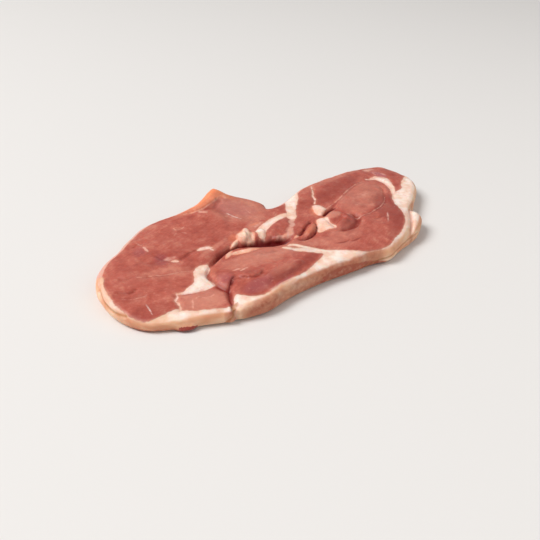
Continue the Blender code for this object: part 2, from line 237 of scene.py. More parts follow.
@dataclass(frozen=True)
class SlicePlan:
    """The slice seen from above: its outline, and the line where the lean meets the fat cap."""

    flap_tip: Place = (-10.2, 45.9)
    back_left: Places = ((-26, 44.2), (-48, 47.5), (-60.5, 44.3), (-77.3, 33.8), (-89, 27.4), (-97.6, 18))
    left_end: Places = ((-100.8, 6), (-100.7, -6), (-96, -17.7), (-86.3, -24.8))
    front: Places = ((-71.5, -32), (-66.4, -34.7), (-62.8, -36.9), (-61.2, -35.9), (-59.2, -37.2),
                     (-54.8, -38.8), (-45, -40.7), (-30, -39), (-10, -39.4), (10, -42),
                     (18, -42.4))
    right_front: Places = ((24.5, -43.6), (31.2, -45.6), (44, -42.8), (57.2, -40.4), (65.8, -36.8),
                           (71.8, -31.8), (73.2, -24.6))
    right_end: Places = ((80.6, -19.4), (91.6, -12.4), (100.8, -5), (105, 3.4), (104.6, 9.5), (104.4, 16),
                         (101.4, 24.8))
    back_right: Places = ((88.3, 29.5), (68, 30.8), (42, 30.2), (29.2, 26), (16.8, 23.4), (9.5, 23.6))
    flap_side: Places = ((11.3, 29), (6.3, 37.8), (-2, 42.2))
    lean_left: Places = ((-98, 24), (-94.6, 17.6), (-97, 12), (-98.9, 6), (-99.7, -1), (-99.5, -6),
                         (-98.6, -11), (-96.9, -15.8))
    lean_front_left: Places = ((-94, -19), (-89, -19.9), (-83.6, -20), (-80.2, -20.6), (-79.3, -23.2),
                               (-75.3, -27), (-69.5, -30.2), (-62.6, -34))
    lean_eye: Places = ((-59.4, -33), (-56, -29.5), (-54, -29.6), (-51, -34.6), (-45, -37.4), (-37.5, -36.8),
                        (-28, -36.6), (-17, -35.8), (-8.8, -33.2), (-1, -30))
    lean_wedge: Places = ((-6, -25.6), (-11.5, -20.5), (-10.5, -16.5), (-7, -18.5), (-2, -22.6), (5, -29.5),
                          (11.5, -36.6))
    lean_right: Places = ((16.8, -40.4), (22, -42), (30.6, -43.8), (39.6, -41.2), (48, -38.6), (55.4, -34.6),
                          (62, -28.2), (65.6, -22), (70, -14.4), (77.5, -7.4), (87.5, -5.5), (93, -0.5),
                          (110, 8))
    behind: Places = ((125, 70), (-125, 70), (-125, 23))
    outline_step: float = 1.2
    lean_step: float = 0.8
    rim_reach: float = 8.0

    def outline(self) -> Array:
        """The outline as a closed loop, anticlockwise from the flap's tip.

        Returns:
            Its places, about a millimetre apart.
        """
        stretches = (self.back_left, self.left_end, self.front, self.right_front, self.right_end,
                     self.back_right, self.flap_side)
        places = (self.flap_tip, *(p for s in stretches for p in s))
        return smooth_line(places, step=self.outline_step, closed=True)

    def lean_line(self) -> Array:
        """The line between lean and fat cap, from the left end round the front to the right end."""
        stretches = (self.lean_left, self.lean_front_left, self.lean_eye, self.lean_wedge, self.lean_right)
        return smooth_line(tuple(p for s in stretches for p in s), step=self.lean_step)

    def lean_loop(self) -> Array:
        """The lean's outline, closed well behind the slice."""
        return np.vstack([self.lean_line(), self.behind])

    def rim(self, where: Array) -> tuple[Array, Array]:
        """Measure places against the outline.

        Args:
            where: places in the plan.

        Returns:
            How far along the outline each place lies, and how far in from it.
        """
        loop = self.outline()
        ring = ring_of(loop)
        gap, share, _ = nearest_on(ring, where, self.rim_reach)
        length = np.linalg.norm(np.diff(ring, axis=0), axis=1).sum()
        return share * length, np.where(inside_loop(loop, where), gap, 0)


@dataclass(frozen=True)
class Dome:
    """A low rise with an oval foot."""

    x: float
    y: float
    half_length: float
    half_width: float
    turn: float
    height: float = 1.0
    flatness: float = 0.8
    foot: float = 3.0

    def rise(self, where: Array) -> Array:
        """Height that the dome adds.

        Args:
            where: places in the plan.

        Returns:
            The height at each place.
        """
        angle = np.radians(self.turn)
        dx, dy = where[:, 0] - self.x, where[:, 1] - self.y
        u = (dx * np.cos(angle) + dy * np.sin(angle)) / self.half_length
        v = (-dx * np.sin(angle) + dy * np.cos(angle)) / self.half_width
        up = np.clip(1 - (u * u + v * v), 0, 1)
        return self.height * up ** self.flatness * np.clip(self.foot * up, 0, 1)


@dataclass(frozen=True)
class Furrow:
    """A seam, slit or fold: a line along which the surface sinks."""

    points: Places
    half_width: float
    depth: float
    end: float = 0.35
    run_in: float = 8.0
    spread: float = 3.0

    def sink(self, where: Array) -> Array:
        """Depth that the furrow takes off.

        Args:
            where: places in the plan.

        Returns:
            The depth at each place.
        """
        gap, share, _ = nearest_on(smooth_line(self.points), where, self.spread * self.half_width)
        fade = np.clip(self.end + self.run_in * np.minimum(share, 1 - share), 0, 1)
        return self.depth * fade * np.exp(-(gap / self.half_width) ** 2)


@dataclass(frozen=True)
class Fold:
    """A line where one muscle lies over its neighbour: raised on its left and sunk on its right."""

    points: Places
    height: float
    reach: float = 4.0
    drop: float = 0.6
    run_in: float = 5.0
    sharpness: float = 1.6

    def rise(self, where: Array) -> Array:
        """Height that the fold adds.

        Args:
            where: places in the plan.

        Returns:
            The height at each place, negative on the sunk side.
        """
        line = smooth_line(self.points)
        gap, share, foot = nearest_on(line, where, self.reach)
        fade = np.clip(self.run_in * np.minimum(share, 1 - share), 0, 1)
        left = left_of(line, where, share, foot) > 0
        return self.height * fade * np.where(left, 1, -self.drop) * (1 - gap / self.reach) ** self.sharpness


@dataclass(frozen=True)
class Cleft:
    """The deep cleft left by the bone, with its width and depth along its length."""

    points: Places = ((-53, -5.6), (-47.5, -2.7), (-42, 0), (-36, 2), (-30, 2.2), (-24.5, 0.2), (-18, -2.6),
                      (-12, -4.9), (-6.5, -7), (-1, -8.6))
    half_width: Numbers = (0.6, 0.9, 1.15, 1.2, 1.4, 1.9, 2.8, 3.4, 3.2, 1.2)
    depth: Numbers = (0.6, 2.2, 3.2, 3.6, 4.0, 4.8, 5.8, 6.4, 5.6, 1.5)
    steepness: float = 2.2
    under_half_width: float = 1.6
    under_depth: float = 1.6
    under_run_in: float = 5.0
    reach: float = 12.0
    under_reach: float = 6.0

    def shape(self, where: Array) -> tuple[Array, Array]:
        """The open cleft in the upper cut face.

        Args:
            where: places in the plan.

        Returns:
            The depth at each place, and the share of the full depth that this is.
        """
        gap, share, _ = nearest_on(smooth_line(self.points), where, self.reach)
        stations = np.linspace(0, 1, len(self.depth))
        width = np.interp(share, stations, self.half_width)
        part = np.exp(-(gap / width) ** self.steepness)
        return np.interp(share, stations, self.depth) * part, part

    def under(self, where: Array) -> Array:
        """The same cleft, nearly closed, on the underside.

        Args:
            where: places in the plan.

        Returns:
            The depth at each place.
        """
        gap, share, _ = nearest_on(smooth_line(self.points), where, self.under_reach)
        fade = np.clip(self.under_run_in * np.minimum(share, 1 - share), 0, 1)
        return self.under_depth * fade * np.exp(-(gap / self.under_half_width) ** 2)


RIM_CUT: Places = ((-58.5, -31), (-61.5, -35.2), (-64.5, -39.5), (-66, -43))
CREASE_A: Places = ((11.5, -26.6), (14, -28.5), (18, -29))
CREASE_B: Places = ((18.5, -30.5), (21.5, -31), (25, -30.8))


@dataclass(frozen=True)
class Relief:
    """Heights of the two cut faces, from named rises and furrows."""

    thickness: float = 10.0
    flap_lift: float = 9.8
    flap_reach: float = 12.5
    flap_fade: float = 1.15
    flap_left_squeeze: float = 0.72
    flap_undercut: float = 1.75
    flap_under_start: float = 1.0
    cleft: Cleft = field(default_factory=Cleft)
    full_hollow: float = 1.3
    hollow_from: Span = (0.15, 0.9)
    thin_places: tuple[Numbers, ...] = ((-80, -32, 34.0, 3.0), (-101, -12, 18.0, 2.0), (30, -50, 20.0, 1.9))
    domes: dict[str, Dome] = table(Dome, dict(
        upper_left=(-50, 22, 48, 24, 12, 1.3),
        lower_left=(-80, -3, 26, 20, -25, 0.9),
        square=(-69, -25, 13, 9, -15, 0.7),
        eye=(-30, -21, 31, 15, -8, 1.7),
        eye_lobe=(-52, -15.5, 6.5, 8, -15, 0.7),
        eye_rise=(-26.5, -30.2, 13, 3.8, 2, 1.7),
        eye_low=(-44, -30, 10, 5.5, 10, 0.7),
        right_lobe=(38, -27, 36, 20, 22, 1.6),
        pale_oval=(60, 3, 26, 11, 20, 1.5),
        back_right=(56, 22, 38, 14, 4, 1.6),
        end_muscle=(92, 10, 13, 12, 70, 0.9),
        inner_muscle=(0, 3.5, 11, 4.5, 22, 1.0),
        tissue=(21, -9, 7.5, 3.4, 66, 0.4, 0.5),
        patch=(29.6, 4, 6.6, 4.2, 60, 0.8, 0.5),
        cream_left=(-23, 5.2, 5.4, 2.6, 62, 2.1, 0.5),
        cream_upper=(-18.6, 7.4, 5.8, 2.5, 62, 2.2, 0.5),
        cream_fold=(-16, 3.6, 4.4, 1.8, 64, 1.5, 0.5),
        cream_hook=(-12.4, 3.2, 5.6, 2.4, 50, 1.2, 0.5),
        left_swell=(-83, 12, 12, 8, 20, 0.5),
    ))
    furrows: dict[str, Furrow] = table(Furrow, dict(
        beside_lobe=(((-51, -5.4), (-53.6, -7), (-55.4, -9), (-56.5, -12.5), (-57.3, -19), (-56.5, -22.5),
                      (-55.5, -25), (-57.5, -28.5), (-60.5, -33)), 1.1, 1.6),
        lobe_slit=(((-56.5, -26), (-54.6, -24), (-52, -22.3), (-49.5, -20.2),
                    (-47, -19.4)), 0.7, 1.5, 0.1, 3.0),
        ridge_crease=(((-48, -18.5), (-45, -17.4), (-42, -17.8), (-39, -18.6)), 0.7, 0.35),
        eye_arc=(((-30, -19.5), (-26.5, -22.3), (-23, -21.7), (-17.5, -23)), 0.9, 0.4),
        beside_wedge=(((-10.5, -16.5), (-6, -20.5), (-1, -27)), 1.6, 0.5),
        square_top=(((-75.5, -12.5), (-71, -15), (-67, -16.5), (-58.5, -17.5)), 1.2, 0.5),
        square_left=(((-75.5, -12.5), (-78, -16), (-78.5, -20), (-80.5, -23)), 1.1, 0.6),
        left_crease=(((-96.6, 4.9), (-94.2, 3.1), (-91.8, 0.9), (-89.2, 0.5), (-86.8, 1.6)), 1.6, 0.6),
        left_crease_low=(((-97, 1.4), (-95, 0), (-92.5, -2.4), (-88.9, -3.6), (-86, -5.3)), 0.8, 0.4),
        left_dent=(((-90.5, 11.5), (-88.2, 9.2), (-85.2, 8.2)), 1.6, 0.5),
        left_hollow=(((-72, 14), (-67, 12), (-62, 13)), 3.5, 0.6),
        eye_dent=(((-24, -13), (-19, -14.5), (-14, -17.5)), 1.6, 0.4),
        left_nicks=(((-71, 30), (-67, 32), (-65, 30.5)), 0.9, 0.5),
        upper_nick=(((-47.5, 33), (-43.5, 31), (-40, 31.5)), 1.1, 0.45),
        mid_seam=(((-83, 6.5), (-77, 4), (-70.5, 1), (-64, -0.5), (-59, -2.5)), 0.9, 0.35),
        upper_line=(((-66.5, 18), (-65.2, 14), (-62.8, 10.2), (-59.6, 7.8), (-52, 9.6),
                     (-46, 9.4)), 0.9, 0.6),
        beside_flap=(((-17.5, 34), (-16.4, 31), (-16.3, 27), (-17, 22)), 2.1, 0.5),
        flap_pocket=(((-24, 37), (-20.6, 36), (-17.6, 35.2), (-14.4, 37.2), (-10.6, 38.7)), 1.4, 0.7),
        flap_line=(((-14.5, 28.5), (-13.5, 25.5), (-11, 20.5)), 0.8, 0.4),
        oval_low=(((36, -12.5), (40.5, -15), (46, -16), (54.5, -15.3), (65.5, -11.5), (71, -7), (77, -0.5),
                   (79, 5)), 1.1, 0.7),
        oval_top=(((31, 0.5), (37, 2.5), (44.5, 5), (54, 8), (65.5, 12), (76, 13.8)), 1.3, 0.5),
        upper_slit=(((2.6, -9.2), (5.4, -8), (8.2, -6.4), (11, -4.8), (13.6, -3.5), (18, -2)), 0.6, 3.2),
        lower_slit=(((19.6, -3.8), (17.9, -5.4), (16.4, -7.8), (12.2, -11.4), (8, -13.2), (3.6, -13.8),
                     (-0.8, -12.6)), 0.58, 3.0),
        bump_slit=(((27.2, -1.8), (30, -0.5), (33.4, 0.6), (36, 1), (40, 1.4)), 0.85, 2.6),
        bump_hollow=(((22.5, -19), (26, -20), (31, -20.6), (36, -18.6), (40.2, -14.6),
                      (41.2, -10)), 1.8, 2.2),
        bump_edge=(((22.5, -16.5), (23.8, -13), (24.6, -8.5), (26.6, -4)), 0.7, 1.2),
        back_seam=(((44.5, 24.5), (41, 20), (38, 17.5), (35, 13)), 1.0, 0.6),
        silver_seam=(((82, 15), (88, 12), (89.5, 7.5), (88, 2)), 1.2, 0.7),
        end_seam=(((83.5, 12), (85, 6.5), (83.2, 0), (77.5, -6.5), (72, -12.5)), 1.3, 0.6),
        crease_a=(CREASE_A, 0.8, 0.6),
        crease_b=(CREASE_B, 0.8, 0.5),
        crease_c=(((25, -30), (30.5, -30), (36.5, -30.5), (42, -31.7)), 1.0, 0.35),
        crease_d=(((44, -22.8), (49, -23.2), (53.5, -22.6)), 1.0, 0.45),
        rim_fold=(((70.5, -25.5), (68, -28), (63, -32.5), (58, -37), (53, -40.3), (46, -43.5)), 0.9, 1.9),
        rim_inner_fold=(((66.4, -26.6), (61.2, -32), (55.4, -37), (48, -41.2)), 0.6, 0.4),
        rim_nick=(((69, -26.5), (72, -25), (76, -23.6)), 1.0, 1.2),
        rim_cut=(RIM_CUT, 0.8, 1.4),
    ))
    folds: dict[str, Fold] = table(Fold, dict(
        lobe_over_low=(((-56, -25.5), (-53, -22.8), (-49.5, -20), (-45.5, -19.2)), 1.1, 3.5),
        strip_over_low=(((-47, -19.5), (-45, -22), (-43, -24.5), (-40.5, -25.6), (-37, -25.4),
                         (-34, -23.5)), 1.2, 4.5),
        lobe_over_patch=(((-56, -24), (-57.3, -19), (-57, -12.5), (-55.5, -7.5)), 0.6, 2.5, 0.2),
        cut_rim=(RIM_CUT[::-1], 0.9, 4.0, 0.3),
        inner_over_cleft=(((-14, 0.6), (-9, -1.8), (-4, -5.5)), 0.5, 3.0, 0.0),
        flap_roll=(((-34, 41), (-28, 38.6), (-22, 38.2), (-16.4, 39), (-9, 40)), 0.7, 4.0, 0.5),
        over_left_crease=(((-98, 5), (-94.2, 3.1), (-91.8, 0.9), (-89.2, 0.5), (-86, 2)), 0.8, 4.0, 0.3),
        upper_over_valley=(((-64, 11.5), (-59.6, 7.8), (-52, 9.6), (-44, 9), (-38, 7.6)), 0.5, 3.5, 0.6),
    ))

    def lift(self, plan: SlicePlan, where: Array) -> Array:
        """Height that the curled flap adds.

        Args:
            plan: the slice's plan.
            where: places in the plan.

        Returns:
            The height at each place.
        """
        dx, dy = where[:, 0] - plan.flap_tip[0], where[:, 1] - plan.flap_tip[1]
        dx = np.where(dx < 0, dx * self.flap_left_squeeze, dx)
        return self.flap_lift * np.exp(-(np.hypot(dx, dy) / self.flap_reach) ** self.flap_fade)

    def face(self, plan: SlicePlan, where: Array) -> Array:
        """The upper cut face, before its seams and the cleft are sunk.

        Args:
            plan: the slice's plan.
            where: places in the plan.

        Returns:
            The height at each place.
        """
        height = self.thickness + self.lift(plan, where)
        for x, y, reach, thinner in self.thin_places:
            away = np.hypot(where[:, 0] - x, where[:, 1] - y)
            height -= thinner * np.exp(-(away / reach) ** 2)
        for dome in self.domes.values():
            height += dome.rise(where)
        for fold in self.folds.values():
            height += fold.rise(where)
        return height

    def hollow(self, where: Array) -> Array:
        """How deep in a furrow places lie.

        Args:
            where: places in the plan.

        Returns:
            For each place, 0 on open face to 1 at the bottom of a deep furrow.
        """
        return np.max([min(1, furrow.depth / self.full_hollow)
                       * ease(*self.hollow_from, furrow.sink(where) / furrow.depth)
                       for furrow in self.furrows.values()], axis=0)

    def sunk(self, where: Array) -> Array:
        """Depth that the furrows together take off each place."""
        return np.sum([furrow.sink(where) for furrow in self.furrows.values()], axis=0)

    def top(self, plan: SlicePlan, where: Array) -> Array:
        """Height of the upper cut face at each place."""
        return self.face(plan, where) - self.sunk(where) - self.cleft.shape(where)[0]

    def bottom(self, plan: SlicePlan, where: Array) -> Array:
        """Height of the lower cut face at each place: flat, but for the flap and the closed-up cleft."""
        rise = self.flap_undercut * self.lift(plan, where) - self.flap_under_start
        return np.clip(rise, 0, None) + self.cleft.under(where)


@dataclass(frozen=True)
class Lump:
    """A rounded lump of tissue: an egg laid down and turned, its middle above or below the face around."""

    x: float
    y: float
    above: float
    half_length: float
    half_width: float
    half_height: float
    turn: float = 0.0
    rough: float = 0.25
    rough_size: float = 4.0
    fat: float = 0.0

    def add(self, name: str, level: float, middle: Array) -> Piece:
        """Model the lump in its place.

        Args:
            name: the name of its object.
            level: height of the face at its place.
            middle: what is taken off drawing places to get frame places.

        Returns:
            The object, with its place in its mesh.
        """
        bpy.ops.object.select_all(action="DESELECT")
        bpy.ops.mesh.primitive_ico_sphere_add(subdivisions=4, radius=MM)
        lump = bpy.context.object
        lump.name = name
        turned = (Matrix.Rotation(np.radians(self.turn), 4, "Z")
                  @ Matrix.Diagonal((self.half_length, self.half_width, self.half_height, 1)))
        seed = Vector((self.x, self.y, self.above))
        for vertex in lump.data.vertices:
            swell = 1 + self.rough * noise.noise(vertex.co * (3 / MM / self.rough_size) + seed)
            vertex.co = turned @ (vertex.co * swell)
        place = Vector((self.x - middle[0], self.y - middle[1], level + self.above - middle[2]))
        lump.data.transform(Matrix.Translation(place * MM))
        return lump

    def share(self, space: Array, level: float) -> Array:
        """How far out of the lump's middle places are.

        Args:
            space: places in the drawing frame, with their heights.
            level: height of the face at the lump's place.

        Returns:
            The distance of each place, 1 at the lump's surface.
        """
        away = space - np.array([self.x, self.y, level + self.above])
        angle = np.radians(self.turn)
        along = (away[:, 0] * np.cos(angle) + away[:, 1] * np.sin(angle)) / self.half_length
        across = (away[:, 1] * np.cos(angle) - away[:, 0] * np.sin(angle)) / self.half_width
        return np.sqrt(along ** 2 + across ** 2 + (away[:, 2] / self.half_height) ** 2)


@dataclass(frozen=True)
class Patch:
    """A closed patch of one tissue."""

    points: Places

    def depth(self, where: Array) -> Array:
        """How far inside the patch places are.

        Args:
            where: places in the plan.

        Returns:
            The distance of each place, negative outside, no more than the tissue reach.
        """
        loop = smooth_line(self.points, step=TISSUE_STEP, closed=True)
        gap = nearest_on(ring_of(loop), where, TISSUE_REACH)[0]
        return np.where(inside_loop(loop, where), gap, -gap)


@dataclass(frozen=True)
class Strand:
    """A thin line of one tissue, widest in its middle."""

    points: Places
    half_width: float
    end_share: float = 0.3

    def depth(self, where: Array) -> Array:
        """How far inside the strand places are.

        Args:
            where: places in the plan.

        Returns:
            The distance of each place, negative outside, no more than the tissue reach.
        """
        gap, share, _ = nearest_on(smooth_line(self.points, step=TISSUE_STEP), where, TISSUE_REACH)
        swell = self.end_share + (1 - self.end_share) * np.sin(np.pi * np.clip(share, 0, 1)) ** 0.5
        return self.half_width * swell - gap


@dataclass(frozen=True)
class TissueMap:
    """Where each tissue of the slice lies in the plan. Layers run through the thickness."""

    fat_patches: dict[str, Patch] = table(Patch, dict(
        y_patch=(((-59, -3), (-57, -1.6), (-54, -1), (-51.2, -2.2), (-50.6, -4.4), (-53, -6.6),
                  (-55.4, -8.6), (-56.6, -11), (-57, -14.2), (-57.4, -17.4), (-62.5, -17.8), (-66.8, -16.6),
                  (-71.5, -14.6), (-75, -12.5), (-71, -12.6), (-67.2, -11.6), (-64.2, -10.4), (-62, -7.8),
                  (-60.6, -5)),),
        band=(((24.5, 25), (29.5, 27), (34.5, 28), (30, 21), (23.6, 15.5), (18.2, 10), (15, 6.2),
               (12.4, 4.6), (10.4, 5.8), (10.6, 9), (13.5, 12.5), (18, 18), (21, 22)),),
        branch=(((13, 13), (11.5, 10.2), (6, 9), (0.5, 7.6), (-5, 5.4), (-8.8, 3.4), (-11.4, 0.8),
                 (-13.6, -0.8), (-15.4, 1.2), (-14.6, 4.6), (-12, 7.4), (-7.4, 9.6), (0, 11.8),
                 (6.5, 13)),),
        patch=(((31, 10.2), (34, 8.2), (33.6, 5.2), (33.8, 3), (31.2, 1.4), (27.8, -0.6), (25.2, -0.2),
                (25.6, 2.8), (28, 7)),),
        white_tissue=(((20.4, -3.2), (23.4, -3.2), (26.8, -3.6), (26.2, -6.4), (25.2, -9.3), (24.8, -13),
                       (23.2, -15.2), (19, -14.2), (14.4, -14), (12.4, -13.4), (14.6, -10), (16.8, -7.4),
                       (18.9, -5.4)),),
        end_patch=(((82.5, 15), (86.5, 14.2), (89.2, 11.2), (90.4, 7.5), (89, 4), (86, 0), (81.6, -4.8),
                    (80.2, -7.4), (77.5, -8), (79, -5), (82.4, -0.8), (84, 3), (84.4, 7), (84, 11)),),
    ))
    fat_strands: dict[str, Strand] = table(Strand, dict(
        wedge_tip=(((-12.8, -15), (-11, -17), (-9, -19.5)), 1.5, 0.7),
        wedge_top=(((-9.5, -14.4), (-7, -14.6), (-5.4, -17.4), (-3, -21.4), (1, -26.8)), 1.2, 0.5),
        back_seam=(((45.5, 26.5), (41, 20.5), (38, 17.5), (36, 13.5), (33, 11)), 0.5, 0.8),
        square_left=(((-75, -12.5), (-75.8, -14.2), (-78, -15.8), (-78, -17.8), (-78.7, -20.2),
                      (-80.5, -23)), 0.5, 0.8),
        square_top=(((-75, -12.5), (-71, -14.3), (-66, -15.8), (-60, -17)), 0.6, 0.8),
        fleck_a=(((-62.5, 9.6), (-60, 7.4)), 0.75),
        fleck_b=(((-47.6, 9.4), (-44.2, 8.6), (-40.4, 7.2)), 0.95),
        fleck_c=(((-41.8, 7.2), (-41, 5)), 0.55),
        silverskin=(((79, 14.6), (83, 13.4), (86, 10.5), (87, 5.6), (85, -0.8), (79.5, -6.5),
                     (74, -11.5)), 0.9, 0.6),
    ))
    film_strands: dict[str, Strand] = table(Strand, dict(
        oval_top=(((33.6, 3), (37, 4), (42.4, 5.4), (49.8, 7.4), (55, 9.2), (65.5, 12.4),
                   (75, 13.6)), 0.20, 0.6),
        oval_low=(((37.6, -11), (39.6, -13), (42, -14.8), (49, -15.7), (59.4, -13.7), (67.5, -9.7),
                   (71.6, -6.4)), 0.20, 0.6),
        # A painted highlight along the flap's ridge
        flap_ridge_highlight=(((-35, 40.8), (-28, 38.2), (-22, 37.8), (-16.4, 38.6), (-9, 40.6)), 0.22),
        band_low=(((12.6, 8), (11.4, 5.4), (8.4, 3.6), (7.2, 1), (3.8, -1)), 1.4, 0.4),
        star_a=(((-45.3, 33.6), (-44.9, 31)), 0.15),
        star_b=(((-42.6, 29.8), (-40, 30.7)), 0.15),
        star_c=(((-44.2, 27.4), (-42.8, 24.6)), 0.15),
        star_d=(((-46.4, 28.3), (-48.8, 27)), 0.15),
        mid_seam=(((-83, 6.8), (-77, 4.6), (-70.5, 1.3), (-64, -0.3), (-59, -2.3)), 0.12, 0.7),
        # A painted highlight along the curl's edge
        bump_edge=(((37.6, -6.6), (38.4, -9), (38, -11.4)), 0.3, 0.6),
        crease_shine=(((-96, -0.6), (-92.5, -3.4), (-88.9, -4.8), (-85.6, -5)), 0.1),
        eye_line=(((-45.4, -15.4), (-43.6, -15.8), (-42, -16.2)), 0.5),
        eye_line_low=(((-43.4, -17.8), (-41, -17.6), (-38.6, -17.8)), 0.5),
        square_a=(((-72.2, -20.5), (-73.6, -22.6), (-75.2, -25)), 0.3),
        square_b=(((-70.8, -21), (-69.2, -20), (-67.4, -21.6), (-66.4, -23)), 0.2),
        square_c=(((-66, -22.6), (-63.4, -23.2), (-61, -22)), 0.2),
        flap_line=(((-3, 27), (-3.5, 20), (-2.5, 14)), 0.1),
    ))
    membranes: dict[str, Strand] = table(Strand, dict(
        streak=(((-89.2, -9.6), (-89.9, -13.3), (-90.8, -17)), 0.30, 0.5),
        flap_silver=(((-14.5, 28.5), (-13.5, 25.5), (-12.5, 23), (-11, 20.5)), 0.36),
        right_fleck_a=(((56.4, -21.4), (53.0, -24.4)), 0.22),
        right_fleck_b=(((50.8, -26.4), (47.8, -29.2)), 0.16),
    ))
    films: dict[str, Dome] = table(Dome, dict(
        end_pale=(90.6, 23.4, 6.0, 2.6, 170, 0.6),
        strip=(-29.6, -4.6, 8.6, 2.1, -17, 0.75),
        strip_tip=(-37, -1.9, 4.0, 1.3, 27, 0.75),
        violet=(92.4, 13.5, 1.6, 5.0, 8, 0.4),
        right_fleck=(52.4, -25, 6.4, 1.0, 46, 0.45),
        oval=(56, -1, 15, 4.5, 22, 0.2),
        # A painted highlight on a fold of the flap
        pink_highlight=(-24.8, 35.6, 3.4, 1.8, 140, 0.6),
        flap=(-14.5, 25.5, 2.2, 5.5, 20, 0.3),
        upper_pink=(-61.5, 11.5, 4.6, 1.5, -35, 0.45),
        by_band=(1.0, -4.4, 5.0, 2.4, 40, 0.5),
        over_lumps=(-7.6, 11.4, 6.4, 1.4, 20, 0.5),
        band_end=(3.0, -1.6, 7.0, 2.2, 32, 0.5),
        web=(-4.6, -4.8, 6.4, 1.8, -14, 0.55),
        fleck=(-44, 8.4, 5.6, 1.7, -15, 0.5),
        grey_layer=(-30.5, -36.8, 8, 1.2, 2, 0.7),
        left_silver=(-66.8, 25.2, 3.4, 0.9, 84, 0.9),
        left_silver_top=(-66.6, 31, 3.2, 0.6, 96, 0.5),
        eye_front=(-34, -36.8, 12.0, 1.3, 2, 0.6),
        left_seam=(-63, 10.5, 5.0, 1.4, -50, 0.25),
        flap_edge=(-7.5, 39.5, 3.0, 1.4, 60, 0.5),
    ))
    # Paler muscle, and painted light on raised, lit parts: the eye's ridge, the curl, the tongue, a lip, the
    # flap
    pale: dict[str, Dome] = table(Dome, dict(
        square=(-68.5, -23.5, 13, 8, -15, 1.0, 0.5, 4),
        oval=(60, 0, 24, 12.5, 20, 0.55, 0.5, 4),
        flap=(-6, 30, 18, 16, -10, 0.78, 0.5),
        upper_lip=(-40, 6.6, 13, 1.8, 14, 0.8, 0.6),
        eye_rise=(-29, -30.4, 11, 2.4, -3, 0.7),
        tongue=(10.8, -8.7, 8.4, 2.4, 29, 0.15, 0.4, 6),
        curl=(31.4, -4.6, 6.4, 4.4, 12, 1.4, 0.5),
        flap_edge=(-30, 41, 12, 3, 0, 0.5),
        eye_top=(-28, -14, 24, 9, -12, 0.8),
        lobe=(20, -24, 20, 9, 20, 0.5),
        middle=(-70, 2, 16, 5, -20, 0.35),
        back=(60, 27, 34, 4.5, 2, 0.6),
        seam_mouth=(2, -18, 14, 5, -24, 0.5),
        over_lumps=(-12, 12, 12, 3, 28, 0.6),
    ))
    # Darker muscle, and painted shade: the curl's flank, foot and hollow, creases, the lobe's side, the eye's
    # slope
    dusk: dict[str, Dome] = table(Dome, dict(
        back_right=(54, 15.5, 26, 7.5, 14, 0.9, 0.6, 4),
        back_small=(29, 13, 8, 7, 60, 0.6),
        upper=(-48, 20, 26, 11, 8, 0.2),
        low_right=(63, -18, 21, 10, 50, 1.5, 0.6),
        rim_right=(47, -36.5, 15, 5.5, 28, 0.9),
        end=(96, 10, 10, 6, 80, 0.4),
        eye_low=(-38, -31, 19, 6, 0, 0.8),
        eye_edge=(-13, -30, 16, 3, 16, 0.8),
        eye_lobe=(-52, -21, 4, 3.5, 40, 0.9),
        eye_strip=(-39, -22.6, 5.5, 3.4, -10, 0.7),
        left_low=(-88, -16, 12, 7, -30, 0.5),
        valley=(-48, 0, 13, 3, 25, 0.5),
        left_patch=(-66, 12, 10, 6, 30, 0.35),
        by_crease=(-92, -3, 8, 3.5, -10, 0.4),
        eye_slope=(-29, -34.0, 10, 2.0, 4, 0.9),
        lobe_shade=(-52, -12, 6.5, 1.2, 52, 0.6),
        cleft_wall=(-10, -2.6, 12, 2.6, -22, 0.8),
        curl_end=(36.4, -11, 3.2, 4.4, 0, 1.0),
        curl_low=(28.6, -15.6, 6.6, 3.4, 14, 0.8),
        curl_flank=(32.5, -16.6, 6.5, 2.8, 38, 0.9),
        curl_shade=(27, -22.4, 9.5, 2.2, 22, 0.6),
        hollow=(37, -15.8, 4.6, 3.6, 20, 1.0),
        beside_square=(-57.5, -27, 2.2, 7, -25, 0.9),
        inner=(-6, -0.6, 8, 2, 20, 0.5),
        crease_a=(14.6, -28.4, 3.4, 0.8, -24, 0.9),
        crease_b=(21.6, -31, 3.4, 0.7, 0, 0.8),
        crease_d=(49, -23.1, 5, 0.8, 0, 0.6),
    ))
    # Painted shade along creases, slits and folds and at the curl's foot, and a few dark marks
    dark_lines: dict[str, Strand] = table(Strand, dict(
        eye_arc=(((-44.2, -23.6), (-41.3, -26), (-38.7, -26.2), (-36.1, -25.4)), 0.2),
        lip=(((-49, -20.6), (-46.7, -21.4), (-44.4, -22.8)), 0.25),
        bump_fold=(((25.2, -13), (28.2, -12), (31.4, -11)), 0.3),
        strip_low=(((-38, -5.4), (-33, -5.6), (-29, -6.4), (-24.5, -8.4)), 0.0),
        bump_foot=(((25, -19.2), (29, -20.2), (33.6, -19.2), (38, -16.4), (40.2, -12.6)), 0.5),
        tissue_slit=(((25.6, -7.4), (25, -9.7), (25, -12)), 0.25),
        crease_a=(CREASE_A, 0.25),
        crease_b=(CREASE_B, 0.2),
        seam_dark=(((33.4, 0.8), (38, 2.6), (43, 4.4)), 0.3),
        dark_spot=(((32, 12.2), (32.8, 11.4)), 0.5),
        left_crease=(((-94.6, 3.5), (-92.8, 1.7), (-91, 0.6), (-89.2, 0.5), (-87.6, 1.3)), 0.2),
        left_dent=(((-88.4, 9.6), (-86.8, 8.6), (-85.4, 8.4)), 0.0),
        star_a=(((-46.2, 28.4), (-44.7, 29.1), (-43, 29.4)), 0.1),
        star_b=(((-44.9, 27.6), (-44.7, 30.4)), 0.1),
    ))
